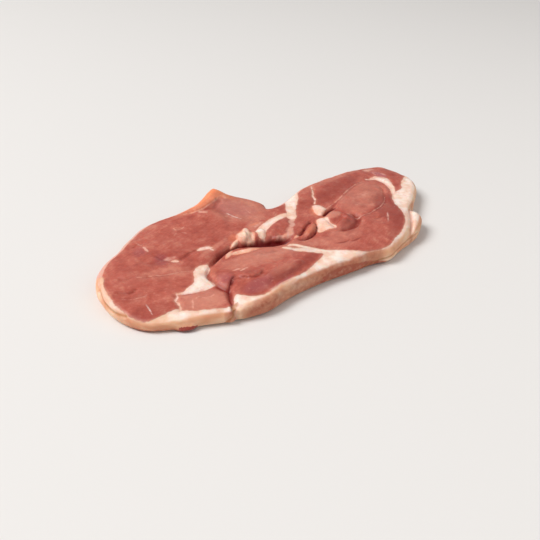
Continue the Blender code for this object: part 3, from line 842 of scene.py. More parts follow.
    violet: dict[str, Dome] = table(Dome, dict(
        flap=(-8, 30, 13, 9, -40, 0.5),
        end=(90.4, 14.6, 6.4, 3.4, 92, 1.8),
        eye_low=(-43.5, -31, 9.5, 4.6, 0, 0.55, 0.6),
        eye_rim=(-34, -36, 10, 1.4, 6, 0.8),
        eye_lobe=(-52, -18, 4.5, 5, 0, 0.6),
        left=(-70, 25, 6, 4, 30, 0.4),
        left_seam=(-66, 13, 6, 4, 60, 0.6),
        y_patch=(-57.2, -9, 1.6, 4, 5, 0.7),
        hollow=(38, -14, 4, 4, 0, 0.2),
    ))
    creams: dict[str, Dome] = table(Dome, dict(
        curds=(-20.6, 5.6, 6.6, 5.2, 50, 0.95, 0.35, 6),
        left=(-22.4, 7.0, 3.4, 1.8, 62, 0.6, 0.5),
        upper=(-17.8, 8.6, 4.0, 1.8, 62, 0.6, 0.5),
    ))
    # Orange: warm tint of fat and tissue with painted shade on it, and painted highlights on a strip and the
    # lobe's top
    ambers: dict[str, Dome] = table(Dome, dict(
        tissue_low=(16.0, -11.6, 5, 2.4, 40, 0.4),
        patch_left=(25.4, 3.6, 2.8, 7, -25, 0.25),
        patch_foot=(27.5, -1.6, 4.5, 1.6, 25, 0.4),
        patch=(29.6, 4.4, 6.6, 4.4, 60, 0.4),
        white_tissue=(20, -9.4, 8, 6, 60, 0.28),
        tongue=(11, -8.6, 8, 2.2, 29, 0.3),
        flap=(-2, 34, 17, 10, -30, 0.06),
        orange_strip=(-8.4, 12.9, 4.6, 1.2, -8, 0.32),
        lumps_left=(-26.5, 8.4, 5, 2.6, 35, 0.3),
        strip=(-30.5, -5.4, 8, 1.2, -10, 0.3),
        lobe_top=(-51.2, -8.6, 4, 2.4, 30, 0.15),
    ))
    bare_rims: dict[str, Dome] = table(Dome, dict(
        left_end=(-104, 1, 10, 13, 0, 0.45, 0.4, 8),
        right_end=(106, 12, 9, 14, 0, 0.8, 0.4, 8),
    ))
    bare_level: float = 5.8
    tan: dict[str, Dome] = table(Dome, dict(
        front_right=(-12, -43, 52, 7, 2, 1.0, 0.5, 4),
        corner=(-63, -36.6, 4.0, 2.4, -20, 1.0),
        front_left=(-50, -42, 16, 5, -6, 1.1),
        outer=(74, -22, 9, 4, 20, 0.5),
        left_end=(-99, -9, 8, 16, 10, 0.4),
        end_rim=(103, 2, 6, 14, 0, 0.5),
        nick=(70, -25.6, 2.6, 2.2, 0, 1.0),
        rim_fold=(58, -37, 14, 1.4, 40, 0.7),
    ))
    skin_lines: dict[str, Strand] = table(Strand, dict(
        left_crease=(((-99.6, 12, 7.6), (-100.3, 9.1, 7.1), (-100.9, 4.9, 5.8), (-101.2, 0.1, 5.4),
                      (-100.9, -4.8, 5.2), (-100, -10, 5.6)), 0.4, 0.6),
        cut_rim=(((-59.6, -36.6, 8), (-62.4, -36.8, 5), (-65.6, -35, 1)), 0.35, 0.8),
        right_layer=(((6, -41.8, 1.0), (22, -43.9, 3.0), (31, -46.2, 4.2), (42, -44, 5.0), (54, -42, 5.6),
                      (66, -37, 5.2)), 0.25),
    ))
    brown_layers: dict[str, Strand] = table(Strand, dict(
        front_right=(((-14, -39.4, 3.0), (-6, -39.8, 4.4), (0.9, -40.7, 4.6), (8, -41.8, 4.0),
                      (15, -42.3, 2.8), (22.5, -43.2, 1.4), (30, -45.4, 0)), 3.2, 0.3),
        left_low=(((-100, -14, 1.4), (-90, -24, 1.0), (-76, -31, 1.0)), 1.0, 0.5),
    ))
    wrap: Dome = Dome(-44, -40, 20, 6, 4, 1.0, 0.3, 8)
    # Pale film along the back rim, with the rim's edge painted pale as a highlight
    back_film_and_highlight: Places = ((-97, 21), (-90, 28), (-77.8, 34.2), (-60.5, 44.5), (-48, 48), (-34, 45.8))
    right_film_and_highlight: Places = ((16.8, 23), (29.2, 25.6), (42, 30), (68, 31), (88.3, 30), (101, 26))
    back_film_and_highlight_share: float = 1.2
    right_film_and_highlight_share: float = 0.9
    film_fade: Span = (4, 6)
    strand_film: float = 0.62
    film_edge: Span = (-0.6, 0.4)
    lean_reach: float = 6.0

    def fat(self, plan: SlicePlan, where: Array) -> Array:
        """How far inside fat places are: the cap, the patches and the strands together.

        Args:
            plan: the slice's plan.
            where: places in the plan.

        Returns:
            The distance of each place, negative in lean.
        """
        gap = nearest_on(plan.lean_line(), where, self.lean_reach)[0]
        depth = np.where(inside_loop(plan.lean_loop(), where), -gap, gap)
        for tissue in (*self.fat_patches.values(), *self.fat_strands.values()):
            depth = np.maximum(depth, tissue.depth(where))
        return depth

    def film(self, where: Array, rim: Array) -> Array:
        """How much pale film and painted highlight cover places: the soft patches, and the rim at the back.

        Args:
            where: places in the plan.
            rim: for each place, 1 at the rim to 0 well inside.

        Returns:
            The cover of each place.
        """
        cover = self.sum_of(self.films, where)
        for line, most in ((self.back_film_and_highlight, self.back_film_and_highlight_share), (self.right_film_and_highlight, self.right_film_and_highlight_share)):
            gap = nearest_on(smooth_line(line), where, self.film_fade[1])[0]
            cover = np.maximum(cover, most * rim * (1 - ease(*self.film_fade, gap)))
        for strand in self.film_strands.values():
            cover = np.maximum(cover, self.strand_film * ease(*self.film_edge, strand.depth(where)))
        return cover

    @staticmethod
    def on_side(strands: dict[str, Strand], plan: SlicePlan, rim: Array) -> Array:
        """How far inside a strand on the outer side places are.

        Args:
            strands: strands that have a height at each of their points.
            plan: the slice's plan.
            rim: the run along the rim and the height of each place.

        Returns:
            The distance of each place, negative outside.
        """
        depth = np.full(len(rim), -TISSUE_REACH)
        for crease in strands.values():
            points = np.array(crease.points)
            unrolled = np.column_stack([plan.rim(points[:, :2])[0], points[:, 2]])
            line = Strand(tuple(map(tuple, unrolled)), crease.half_width, crease.end_share)
            depth = np.maximum(depth, line.depth(rim))
        return depth

    @staticmethod
    def sum_of(domes: dict[str, Dome], where: Array) -> Array:
        """Overlapping soft patches together.

        Args:
            domes: the patches, by name.
            where: places in the plan.

        Returns:
            The cover of each place, 0 to 1.
        """
        total = np.zeros(len(where))
        for dome in domes.values():
            total = 1 - (1 - total) * (1 - np.clip(dome.rise(where), 0, 1))
        return total


# Blender helpers


def only(thing: Piece) -> None:
    """Select one object and make it the active one.

    Args:
        thing: the object.
    """
    bpy.ops.object.select_all(action="DESELECT")
    thing.select_set(True)
    bpy.context.view_layer.objects.active = thing


def apply_modifier(thing: Piece, kind: str, **settings: Any) -> None:
    """Give an object a modifier and apply it.

    Args:
        thing: the object.
        kind: the modifier's type.
        **settings: the modifier's properties.
    """
    only(thing)
    modifier = thing.modifiers.new(kind.lower(), kind)
    for name, value in settings.items():
        setattr(modifier, name, value)
    bpy.ops.object.modifier_apply(modifier=modifier.name)


def places_of(mesh: bpy.types.Mesh) -> Array:
    """Read the places of a mesh's vertices.

    Args:
        mesh: the mesh.

    Returns:
        The places in millimetres.
    """
    flat = np.empty(len(mesh.vertices) * 3)
    mesh.vertices.foreach_get("co", flat)
    return flat.reshape(-1, 3) / MM


def move_to(mesh: bpy.types.Mesh, places: Array) -> None:
    """Put a mesh's vertices at places in millimetres."""
    mesh.vertices.foreach_set("co", (places * MM).ravel())
    mesh.update()


def normals_of(mesh: bpy.types.Mesh) -> Array:
    """Read the normals of a mesh's vertices.

    Args:
        mesh: the mesh.

    Returns:
        A direction for each vertex.
    """
    flat = np.empty(len(mesh.vertices) * 3)
    mesh.vertices.foreach_get("normal", flat)
    return flat.reshape(-1, 3)


def upright_prism(name: str, loop: Array, low: float, high: float) -> Piece:
    """Model a prism on an outline: a filled ring laid on the outline and drawn upwards.

    Args:
        name: the name of its object.
        loop: the outline's places.
        low: level of its foot.
        high: level of its top.

    Returns:
        The object, with its place in its mesh.
    """
    bpy.ops.object.select_all(action="DESELECT")
    bpy.ops.mesh.primitive_circle_add(vertices=len(loop), radius=MM, fill_type="NGON")
    prism = bpy.context.object
    prism.name = name
    move_to(prism.data, np.column_stack([loop, np.full(len(loop), low)]))
    bpy.ops.object.mode_set(mode="EDIT")
    bpy.ops.mesh.select_all(action="SELECT")
    bpy.ops.mesh.extrude_region_move(TRANSFORM_OT_translate={"value": (0, 0, (high - low) * MM)})
    bpy.ops.mesh.select_all(action="SELECT")
    bpy.ops.mesh.normals_make_consistent(inside=False)
    bpy.ops.object.mode_set(mode="OBJECT")
    return prism


def fine_noise(places: Array, size: float, seed: float) -> Array:
    """Smooth noise at each place, about -1 to 1, with features of the given size in millimetres."""
    shift = Vector((seed, -seed, 2 * seed))
    return np.array([noise.noise(Vector(p) / size + shift) for p in places])


@dataclass(frozen=True)
class Spots:
    """The vertices of a piece, measured in millimetres."""

    place: Array  # in the frame
    where: Array  # in the plan
    tilt: Array   # 0 on a flat face, 1 on an upright one
    run: Array    # along the rim
    depth: Array  # in from the rim
    below: Array  # under the open upper cut face

    @property
    def height(self) -> Array:
        """Height above what the slice lies on."""
        return self.place[:, 2]

    @property
    def unrolled(self) -> Array:
        """Run along the rim and height."""
        return np.column_stack([self.run, self.height])


@dataclass
class LambSlice:
    """The slice as two pieces, the lean and the fat cap, cut from one sculpted body."""

    plan: SlicePlan = field(default_factory=SlicePlan)
    relief: Relief = field(default_factory=Relief)
    tissues: TissueMap = field(default_factory=TissueMap)
    first_grain: float = 0.75
    grain: float = 0.55
    top_round: float = 3.2
    bottom_round: float = 3.0
    side_swell: float = 0.7
    swell_reach: float = 1.5
    scrap_x: float = -80.8
    scrap_reach: float = 2.2
    scrap_half_width: float = 3.6
    scrap_height: float = 2.9
    scrap_root: float = 5.0
    scrap_edge: float = 0.6
    scrap_fat: float = -1.5
    scrap_dark_and_shade: Span = (0.3, 0.7)
    scrap_fade: float = 0.4
    scrap_in: Span = (0.5, 3.0)
    lead_share: float = 0.05
    soften: int = 3
    cutter_levels: Span = (-5, 40)
    torn_line: Places = ((-22, 5), (-14, 3), (-6, -1), (2, -5), (18, -8), (24, -8))
    torn_reach: Span = (2.0, 6.0)
    torn_search: float = 12.0
    rough_tilt: Span = (0.35, 0.8)
    rough_height: Span = (1.0, 3.0)
    broad_bumps: Triple = (7.0, 3.1, 0.30)
    middle_bumps: Triple = (4.2, 5.3, 0.13)
    small_bumps: Triple = (2.2, 7.7, 0.06)
    torn_bumps: float = 0.16
    crumbs: Place = (0.30, 0.28)
    crease_depth: float = 0.55
    crease_in: Span = (2.5, 4.0)
    crease_edge: Span = (-0.9, 0.3)
    layer_edge: Span = (-0.8, 0.8)
    underside_share: float = 0.12
    underside_level: float = 0.6
    underside_facing: float = -0.9
    side_tilt: Span = (0.45, 0.75)
    side_depth: float = 4.0
    skin_depth: Span = (1.5, 3.4)
    wrap_tilt: Span = (0.12, 0.45)
    end_skin: float = 0.72
    end_skin_from: Span = (-80, -92)
    rim_film_and_highlight_depth: Span = (1.9, 3.1)
    rim_film_and_highlight_below: Span = (3.0, 6.5)
    wall_shade: float = 0.35
    wall_shade_height: Span = (1.5, 4.5)
    wall_shade_until: Span = (20, 30)
    layer_tan: float = 1.3
    cream_share: float = 0.9
    cream_below: Span = (-5.5, -0.3)
    lump_edge: Span = (1.05, 1.45)
    lump_top: Span = (-0.4, 0.8)
    lump_foot: float = 0.25
    seam_height: Span = (4, 7)
    seam_below: Span = (0, 0.6)
    line_dark: float = 0.8
    line_edge: Span = (-0.6, 0.3)
    cleft_part: Span = (0.02, 0.25)
    cleft_below: Span = (0.7, 3.4)
    slit_part: Span = (0.1, 0.5)
    slit_below: Span = (0.5, 1.9)
    deep_height: Span = (1.0, 2.0)
    dark_slits: tuple[str, ...] = ("upper_slit", "lower_slit", "bump_slit", "lobe_slit")
    lit_lift: Span = (1.0, 4.0)
    lit_left: Span = (2.0, -8.0)
    lit_back: Span = (27, 34)
    lit_fade: Span = (1.5, 4.5)
    lit_depth: Span = (5.6, 7.2)
    middle: Array = field(default_factory=lambda: np.zeros(3))
    lumps: dict[str, Lump] = table(Lump, dict(
        curl=(31.2, -6.4, -1.0, 6.6, 4.4, 2.9, 12, 0.12, 6),
        curl_low=(29.2, -14.6, -1.7, 5.6, 3.0, 2.9, 14, 0.15, 5),
        curl_end=(35.8, -10.2, -1.9, 2.6, 4.4, 3.0, -8, 0.15, 4),
        cream_bead=(-28.6, 4.3, -1.2, 4.2, 1.0, 1.9, 26, 0.3, 3, 0.8),
        red_a=(-12.4, -0.4, -2.9, 3.4, 1.7, 2.6, -25, 0.3, 4),
        red_b=(-6.4, -2.8, -2.8, 3.4, 1.7, 2.5, -25, 0.3, 4),
        red_c=(-21.4, 2.6, -2.8, 2.6, 1.7, 2.6, -20, 0.3, 3, 0.3),
        pale_a=(1.6, -3.6, -1.7, 3.6, 1.4, 1.8, 45, 0.3, 4, 0.3),
        pale_b=(-2.6, -4.4, -2.0, 2.4, 1.3, 1.8, 20, 0.3, 3, 0.3),
        drop=(0.3, -9.4, -0.9, 1.4, 0.9, 1.3, 10, 0.3, 3, 0.5),
        tongue=(10.6, -8.9, -0.5, 8.0, 2.0, 1.5, 30, 0.1, 6),
        leaf=(12.6, -2.4, -1.2, 7.4, 1.4, 1.6, 24, 0.1, 6),
        strip_tip=(-37.2, -2.0, -1.2, 3.8, 1.1, 1.6, 27, 0.4, 3, 0.6),
        strip=(-29.4, -4.4, -1.2, 7.6, 1.7, 1.7, -17, 0.25, 4, 0.7),
    ))

    def build(self) -> dict[Layer, Piece]:
        """Sculpt the slice and cut it into its two layers.

        Returns:
            The piece of each layer.
        """
        body = self._slab()
        self._sculpt(body)
        self._add_lumps(body)
        self._roughen(body)
        self._thin_underside(body)
        return self._cut(body)

    def _slab(self) -> Piece:
        """Model a slab on the slice's outline.

        Returns:
            The slab, with an even mesh.
        """
        slab = upright_prism("slice_body", self.plan.outline(), 0, self.relief.thickness)
        apply_modifier(slab, "REMESH", mode="VOXEL", voxel_size=self.first_grain * MM)
        return slab

    def _sculpt(self, slab: Piece) -> None:
        """Roll the slab's rim round, swell its side and raise and sink its faces.

        Args:
            slab: the slab, changed in place.
        """
        place = places_of(slab.data)
        where, z = place[:, :2].copy(), place[:, 2]
        thick = self.relief.thickness
        loop = self.plan.outline()
        reach = 2 * self.top_round
        gap, share, foot = nearest_on(ring_of(loop), where, reach)
        gap = np.where(inside_loop(loop, where) | (gap >= reach), gap, 0)
        ahead = np.roll(loop, -1, axis=0) - np.roll(loop, 1, axis=0)
        inward = ring_of(np.stack([-ahead[:, 1], ahead[:, 0]], -1))
        stations = np.linspace(0, 1, len(inward))
        lead = np.stack([np.interp(share, stations, inward[:, k]) for k in (0, 1)], -1)
        lead /= np.hypot(*lead.T)[:, None]
        lead = where - foot + self.lead_share * lead
        lead /= np.maximum(np.hypot(*lead.T), 1e-9)[:, None]

        upper = z > thick / 2
        radius = np.where(upper, self.top_round, self.bottom_round)
        run = np.where(upper, thick - z, z) - gap
        turn = np.pi / 4 * (np.clip(run / radius, -1, 1) + 1)
        rolled = np.abs(run) < radius
        depth = np.where(rolled, radius * (1 - np.sin(turn)), np.where(run >= radius, 0, gap))
        fall = np.where(rolled, radius * (1 - np.cos(turn)), np.where(run >= radius, run, 0))
        edge = gap < reach
        where[edge] = (foot + lead * depth[:, None])[edge]
        level = np.where(upper, thick - fall, fall) / thick

        top, bottom = self.relief.top(self.plan, where), self.relief.bottom(self.plan, where)
        height = bottom + level * (top - bottom)
        by_scrap = np.exp(-((where[:, 0] - self.scrap_x) / self.scrap_half_width) ** 4) * (where[:, 1] < 0)
        swell = self.side_swell * np.sin(np.pi * level) * np.exp(-(depth / self.swell_reach) ** 2)
        swell += (self.scrap_reach * by_scrap * np.exp(-(height / self.scrap_height) ** 4)
                  * np.clip(1 - depth / self.scrap_root, 0, 1))
        where[edge] -= (lead * swell[:, None])[edge]
        place = np.column_stack([where, height])
        low, high = place.min(axis=0), place.max(axis=0)
        self.middle = np.append((low[:2] + high[:2]) / 2, low[2])
        move_to(slab.data, place - self.middle)

    def _add_lumps(self, body: Piece) -> None:
        """Press the lumps of tissue into the body and give the whole one even mesh.

        Args:
            body: the body, changed in place.
        """
        parts = [lump.add(name, self._level(lump), self.middle) for name, lump in self.lumps.items()]
        only(body)
        for part in parts:
            part.select_set(True)
        bpy.ops.object.join()
        apply_modifier(body, "REMESH", mode="VOXEL", voxel_size=self.grain * MM)
        apply_modifier(body, "SMOOTH", factor=0.5, iterations=self.soften)

    def _level(self, lump: Lump) -> float:
        """Height of the face where a lump sits."""
        return float(self.relief.face(self.plan, np.array([[lump.x, lump.y]], float))[0])

    def _roughen(self, body: Piece) -> None:
        """Work the small unevenness of cut meat and of the outer fat into the surface.

        Args:
            body: the body, changed in place.
        """
        spots, normal = self._measure(body.data), normals_of(body.data)
        side = ease(*self.rough_tilt, spots.tilt)
        upper = ease(*self.rough_height, spots.height)
        broad, middle, small = (fine_noise(spots.place, size, seed)
                                for size, seed, _ in (self.broad_bumps, self.middle_bumps, self.small_bumps))
        amount = upper * (self.broad_bumps[2] * broad + self.middle_bumps[2] * (1 - side) * middle
                          + (self.small_bumps[2] + self.torn_bumps * self.torn(spots.where)) * small)
        creases = self.tissues.on_side(self.tissues.skin_lines, self.plan, spots.unrolled)
        by_rim = 1 - ease(*self.crease_in, spots.depth)
        amount -= self.crease_depth * side * by_rim * ease(*self.crease_edge, creases)
        amount += side * self._layer(spots) * upper * (self.crumbs[0] * middle + self.crumbs[1] * small)
        move_to(body.data, spots.place + normal * amount[:, None])

    def _measure(self, mesh: bpy.types.Mesh) -> Spots:
        """Measure the vertices of a mesh against the plan and the relief.

        Args:
            mesh: the mesh.

        Returns:
            What is measured at each vertex.
        """
        place, normal = places_of(mesh), normals_of(mesh)
        where = place[:, :2] + self.middle[:2]
        return Spots(place, where, np.hypot(normal[:, 0], normal[:, 1]), *self.plan.rim(where),
                     self.relief.face(self.plan, where) - place[:, 2])

    def _layer(self, spots: Spots) -> Array:
        """How far each place lies in a crumbly brown layer of the outer side."""
        layers = self.tissues.on_side(self.tissues.brown_layers, self.plan, spots.unrolled)
        return ease(*self.layer_edge, layers)

    def torn(self, where: Array) -> Array:
        """How torn the tissue is at each place: most beside the cleft."""
        gap = nearest_on(smooth_line(self.torn_line), where, self.torn_search)[0]
        return 1 - ease(*self.torn_reach, gap)

    def _thin_underside(self, body: Piece) -> None:
        """Give the flat underside larger faces than the rest.

        Args:
            body: the body, changed in place.
        """
        group = body.vertex_groups.new(name="underside")
        place = places_of(body.data)
        down = normals_of(body.data)[:, 2] < self.underside_facing
        low = np.nonzero((place[:, 2] < self.underside_level) & down)[0]
        group.add([int(i) for i in low], 1.0, "REPLACE")
        share = 1 - (1 - self.underside_share) * len(low) / len(place)
        apply_modifier(body, "DECIMATE", ratio=share, vertex_group=group.name, vertex_group_factor=10.0)
        body.vertex_groups.clear()

    def _cut(self, body: Piece) -> dict[Layer, Piece]:
        """Cut the body along the lean line, and remove it.

        Args:
            body: the body.

        Returns:
            The piece of each layer.
        """
        cutter = upright_prism("lean_outline", self.plan.lean_loop() - self.middle[:2],
                               *self.cutter_levels)
        pieces = {}
        for layer, operation in ((Layer.LEAN, "INTERSECT"), (Layer.FAT_CAP, "DIFFERENCE")):
            only(body)
            bpy.ops.object.duplicate()
            piece = bpy.context.object
            piece.name = piece.data.name = "raw_" + layer.value
            apply_modifier(piece, "BOOLEAN", operation=operation, object=cutter, solver="EXACT")
            pieces[layer] = piece
        bpy.data.objects.remove(cutter)
        bpy.data.objects.remove(body)
        return pieces

    def paint(self, piece: Piece) -> None:
        """Write onto a piece what its materials read at each spot.

        Args:
            piece: the piece, with its mesh final.
        """
        mesh = piece.data
        spots = self._measure(mesh)
        tissues, where = self.tissues, spots.where
        values = {
            Field.FAT: tissues.fat(self.plan, where),
            Field.MEMBRANE: np.max([s.depth(where) for s in tissues.membranes.values()], axis=0),
            Field.PALE: tissues.sum_of(tissues.pale, where),
            Field.DUSK: tissues.sum_of(tissues.dusk, where),
            Field.VIOLET: tissues.sum_of(tissues.violet, where),
            Field.RAGGED: self.torn(where),
            Field.CAVITY: self._cavity(spots),
            Field.CREAM: self._cream(spots),
            Field.DEEP_SHADE: self._deep_shade(spots),
            Field.AMBER: self._amber(spots),
            **self._outer_side(spots),
        }
        scrap = self._scrap(spots)
        values[Field.FAT] = np.where(scrap > 0.5, self.scrap_fat, values[Field.FAT])
        # Painted shadow from the rim above darkens the scrap
        values[Field.DUSK] = np.maximum(values[Field.DUSK], ease(*self.scrap_dark_and_shade, scrap))
        for name, value in values.items():
            attribute = mesh.attributes.new(name.value, "FLOAT", "POINT")
            attribute.data.foreach_set("value", value.astype(np.float32))
        self._lay_vectors(mesh, Field.GRAIN, self._along_grain(spots))
        self._lay_vectors(mesh, Field.RIM, np.column_stack([spots.unrolled, spots.depth]))

    def _outer_side(self, spots: Spots) -> dict[Field, Array]:
        """Tell the materials of the outer side's skin, film, tan and creases, with painted highlight and
        shade.

        Args:
            spots: the measured vertices.

        Returns:
            For each of these fields, its value at each vertex.
        """
        tissues, where = self.tissues, spots.where
        side = ease(*self.side_tilt, spots.tilt)
        skin = side * (1 - ease(*self.skin_depth, spots.depth))
        skin = np.maximum(skin, tissues.wrap.rise(where) * ease(*self.wrap_tilt, spots.tilt))
        skin = np.maximum(skin, self.end_skin * ease(*self.end_skin_from, where[:, 0]))
        bare = ease(tissues.bare_level - 1, tissues.bare_level + 1, spots.height)
        bare = bare * tissues.sum_of(tissues.bare_rims, where)
        # The back rim's film, with its edge painted pale as a highlight
        rim = 1 - ease(*self.rim_film_and_highlight_depth, spots.depth)
        rim = rim * (1 - 0.5 * ease(*self.rim_film_and_highlight_below, spots.below))
        # Painted shade: the outer side darker towards its foot, on the front
        shade_low_on_wall = self.wall_shade * side * (1 - ease(*self.wall_shade_height, spots.height))
        shade_low_on_wall = shade_low_on_wall * (1 - ease(*self.wall_shade_until, where[:, 0]))
        near = spots.depth < self.side_depth
        layer = self.layer_tan * self._layer(spots) * near * side
        creases = tissues.on_side(tissues.skin_lines, self.plan, spots.unrolled)
        return {
            Field.SKIN: skin * (1 - bare),
            Field.FILM: tissues.film(where, rim),
            Field.TAN: np.max([tissues.sum_of(tissues.tan, where), shade_low_on_wall, layer], axis=0),
            Field.SKIN_LINE: np.where(near, creases, -self.side_depth),
        }

    def _scrap(self, spots: Spots) -> Array:
        """Find the scrap of lean that pokes out under the rim.

        Args:
            spots: the measured vertices.

        Returns:
            How far each vertex lies in it, 0 to 1.
        """
        x, y = spots.where.T
        scrap = np.exp(-((x - self.scrap_x) / (self.scrap_half_width + self.scrap_edge)) ** 6) * (y < 0)
        top = self.scrap_height
        scrap = scrap * (1 - ease(top - self.scrap_fade, top + self.scrap_edge, spots.height))
        return scrap * (1 - ease(*self.scrap_in, spots.depth))

    def _cavity(self, spots: Spots) -> Array:
        """Find where shade is painted: the bottoms of seams, and the dark lines, but for a few dark marks.

        Args:
            spots: the measured vertices.

        Returns:
            For each vertex, 0 in the open to 1 at a bottom.
        """
        where = spots.where
        seams = self.relief.hollow(where) * ease(*self.seam_height, spots.height)
        seams = seams * ease(*self.seam_below, spots.below)
        lines = np.max([s.depth(where) for s in self.tissues.dark_lines.values()], axis=0)
        return np.maximum(seams, self.line_dark * ease(*self.line_edge, lines))

    def _cream(self, spots: Spots) -> Array:
        """Lay soft fat on the raised curds, and on each lump by its own share.

        Args:
            spots: the measured vertices.

        Returns:
            The cover of each vertex.
        """
        cream = self.cream_share * self.tissues.sum_of(self.tissues.creams, spots.where)
        cream = cream * ease(*self.cream_below, -spots.below)
        space = spots.place + self.middle
        for lump in self.lumps.values():
            level = self._level(lump)
            up = (space[:, 2] - level - lump.above) / lump.half_height
            near = 1 - ease(*self.lump_edge, lump.share(space, level))
            top = self.lump_foot + (1 - self.lump_foot) * ease(*self.lump_top, up)
            cream = np.maximum(cream, lump.fat * near * top)
        return cream

    def _deep_shade(self, spots: Spots) -> Array:
        """Find where shade is painted, dark red, in the depths of the cleft and of the slits.

        Args:
            spots: the measured vertices.

        Returns:
            For each vertex, 0 in the open to 1 far down.
        """
        furrows = [self.relief.furrows[name] for name in self.dark_slits]
        slits = np.max([furrow.sink(spots.where) / furrow.depth for furrow in furrows], axis=0)
        cleft = self.relief.cleft.shape(spots.where)[1]
        in_cleft = ease(*self.cleft_part, cleft) * ease(*self.cleft_below, spots.below)
        in_slit = ease(*self.slit_part, slits) * ease(*self.slit_below, spots.below)
        return ease(*self.deep_height, spots.height) * np.maximum(in_cleft, in_slit)

    def _amber(self, spots: Spots) -> Array:
        """Find what is orange: the flap's thin edge, lit from behind, and fat in the shade.

        Args:
            spots: the measured vertices.

        Returns:
            The share of orange of each vertex.
        """
        x, y = spots.where.T
        lit = ease(*self.lit_lift, self.relief.lift(self.plan, spots.where)) * ease(*self.lit_left, x)
        lit = lit * (1 - ease(*self.lit_depth, spots.depth)) * (1 - 0.5 * ease(*self.lit_fade, spots.depth))
        lit = lit * ease(*self.lit_back, y)
        return np.maximum(lit, self.tissues.sum_of(self.tissues.ambers, spots.where))

    @staticmethod
    def _lay_vectors(mesh: bpy.types.Mesh, name: Field, vectors: Array) -> None:
        """Write one vector for each vertex onto a mesh."""
        attribute = mesh.attributes.new(name.value, "FLOAT_VECTOR", "POINT")
        attribute.data.foreach_set("vector", vectors.astype(np.float32).ravel())

    def _along_grain(self, spots: Spots) -> Array:
        """Turn places along the grain of the nearest muscle.

        Args:
            spots: the measured vertices.

        Returns:
            The turned place of each vertex.
        """
        domes = self.relief.domes.values()
        weights = np.array([dome.rise(spots.where) / dome.height + 1e-3 for dome in domes]) ** 2
        turns = 2 * np.radians([dome.turn for dome in domes])
        double = weights.T @ np.stack([np.cos(turns), np.sin(turns)], -1)
        angle = np.arctan2(double[:, 1], double[:, 0]) / 2
        x, y, z = spots.place.T
        return np.stack([x * np.cos(angle) + y * np.sin(angle), y * np.cos(angle) - x * np.sin(angle), z], -1)


# Materials


def shade(hex_code: str) -> Numbers:
    """An sRGB hex colour as linear numbers."""
    channels = (int(hex_code[i:i + 2], 16) / 255 for i in (1, 3, 5))
    return (*(c / 12.92 if c <= 0.04045 else ((c + 0.055) / 1.055) ** 2.4 for c in channels), 1.0)


def add_node(tree: bpy.types.NodeTree, kind: str, inputs: tuple[Any, ...] | dict[Any, Any] = (),
             out: int | str = 0, ramp: Stops = (), **settings: Any) -> Socket:
    """Add a node with its settings and links.

    Args:
        tree: the material's node tree.
        kind: the node's type, without the words that all types start with.
        inputs: in order or by socket, the value it holds, its hex colour or the output that feeds it.
        out: the output that is wanted of the node.
        ramp: for a colour ramp, its stops as places and hex colours.
        **settings: the node's properties.

    Returns:
        The output.
    """
    node = tree.nodes.new("ShaderNode" + kind)
    for name, value in settings.items():
        setattr(node, name, value)
    for socket, value in (inputs if isinstance(inputs, dict) else dict(enumerate(inputs))).items():
        if isinstance(value, Socket):
            tree.links.new(value, node.inputs[socket])
        else:
            node.inputs[socket].default_value = shade(value) if isinstance(value, str) else value
    for number, (place, colour) in enumerate(ramp):
        stops = node.color_ramp.elements
        stop = stops[number] if number < 2 else stops.new(place)
        stop.position, stop.color = place, shade(colour)
    return node.outputs[out]


@dataclass(frozen=True)
class Pattern:
    """A noise in one of the finish's spaces, with features of one size in millimetres."""

    space: str
    size: float
    detail: float
    rough: float = 0.55
    warp: float = 0.0


@dataclass(frozen=True)
class Step:
    """Where a tissue starts to show, where it is full, and its share there."""

    of: Any
    start: float
    full: float
    share: float = 1.0


@dataclass(frozen=True)
class Share:
    """A part of what the mesh tells, swung up and down by a pattern about a level."""

    of: Any
    part: float = 1.0
    by: str = "patchy"
    swing: float = 0.0
    level: float = 1.0


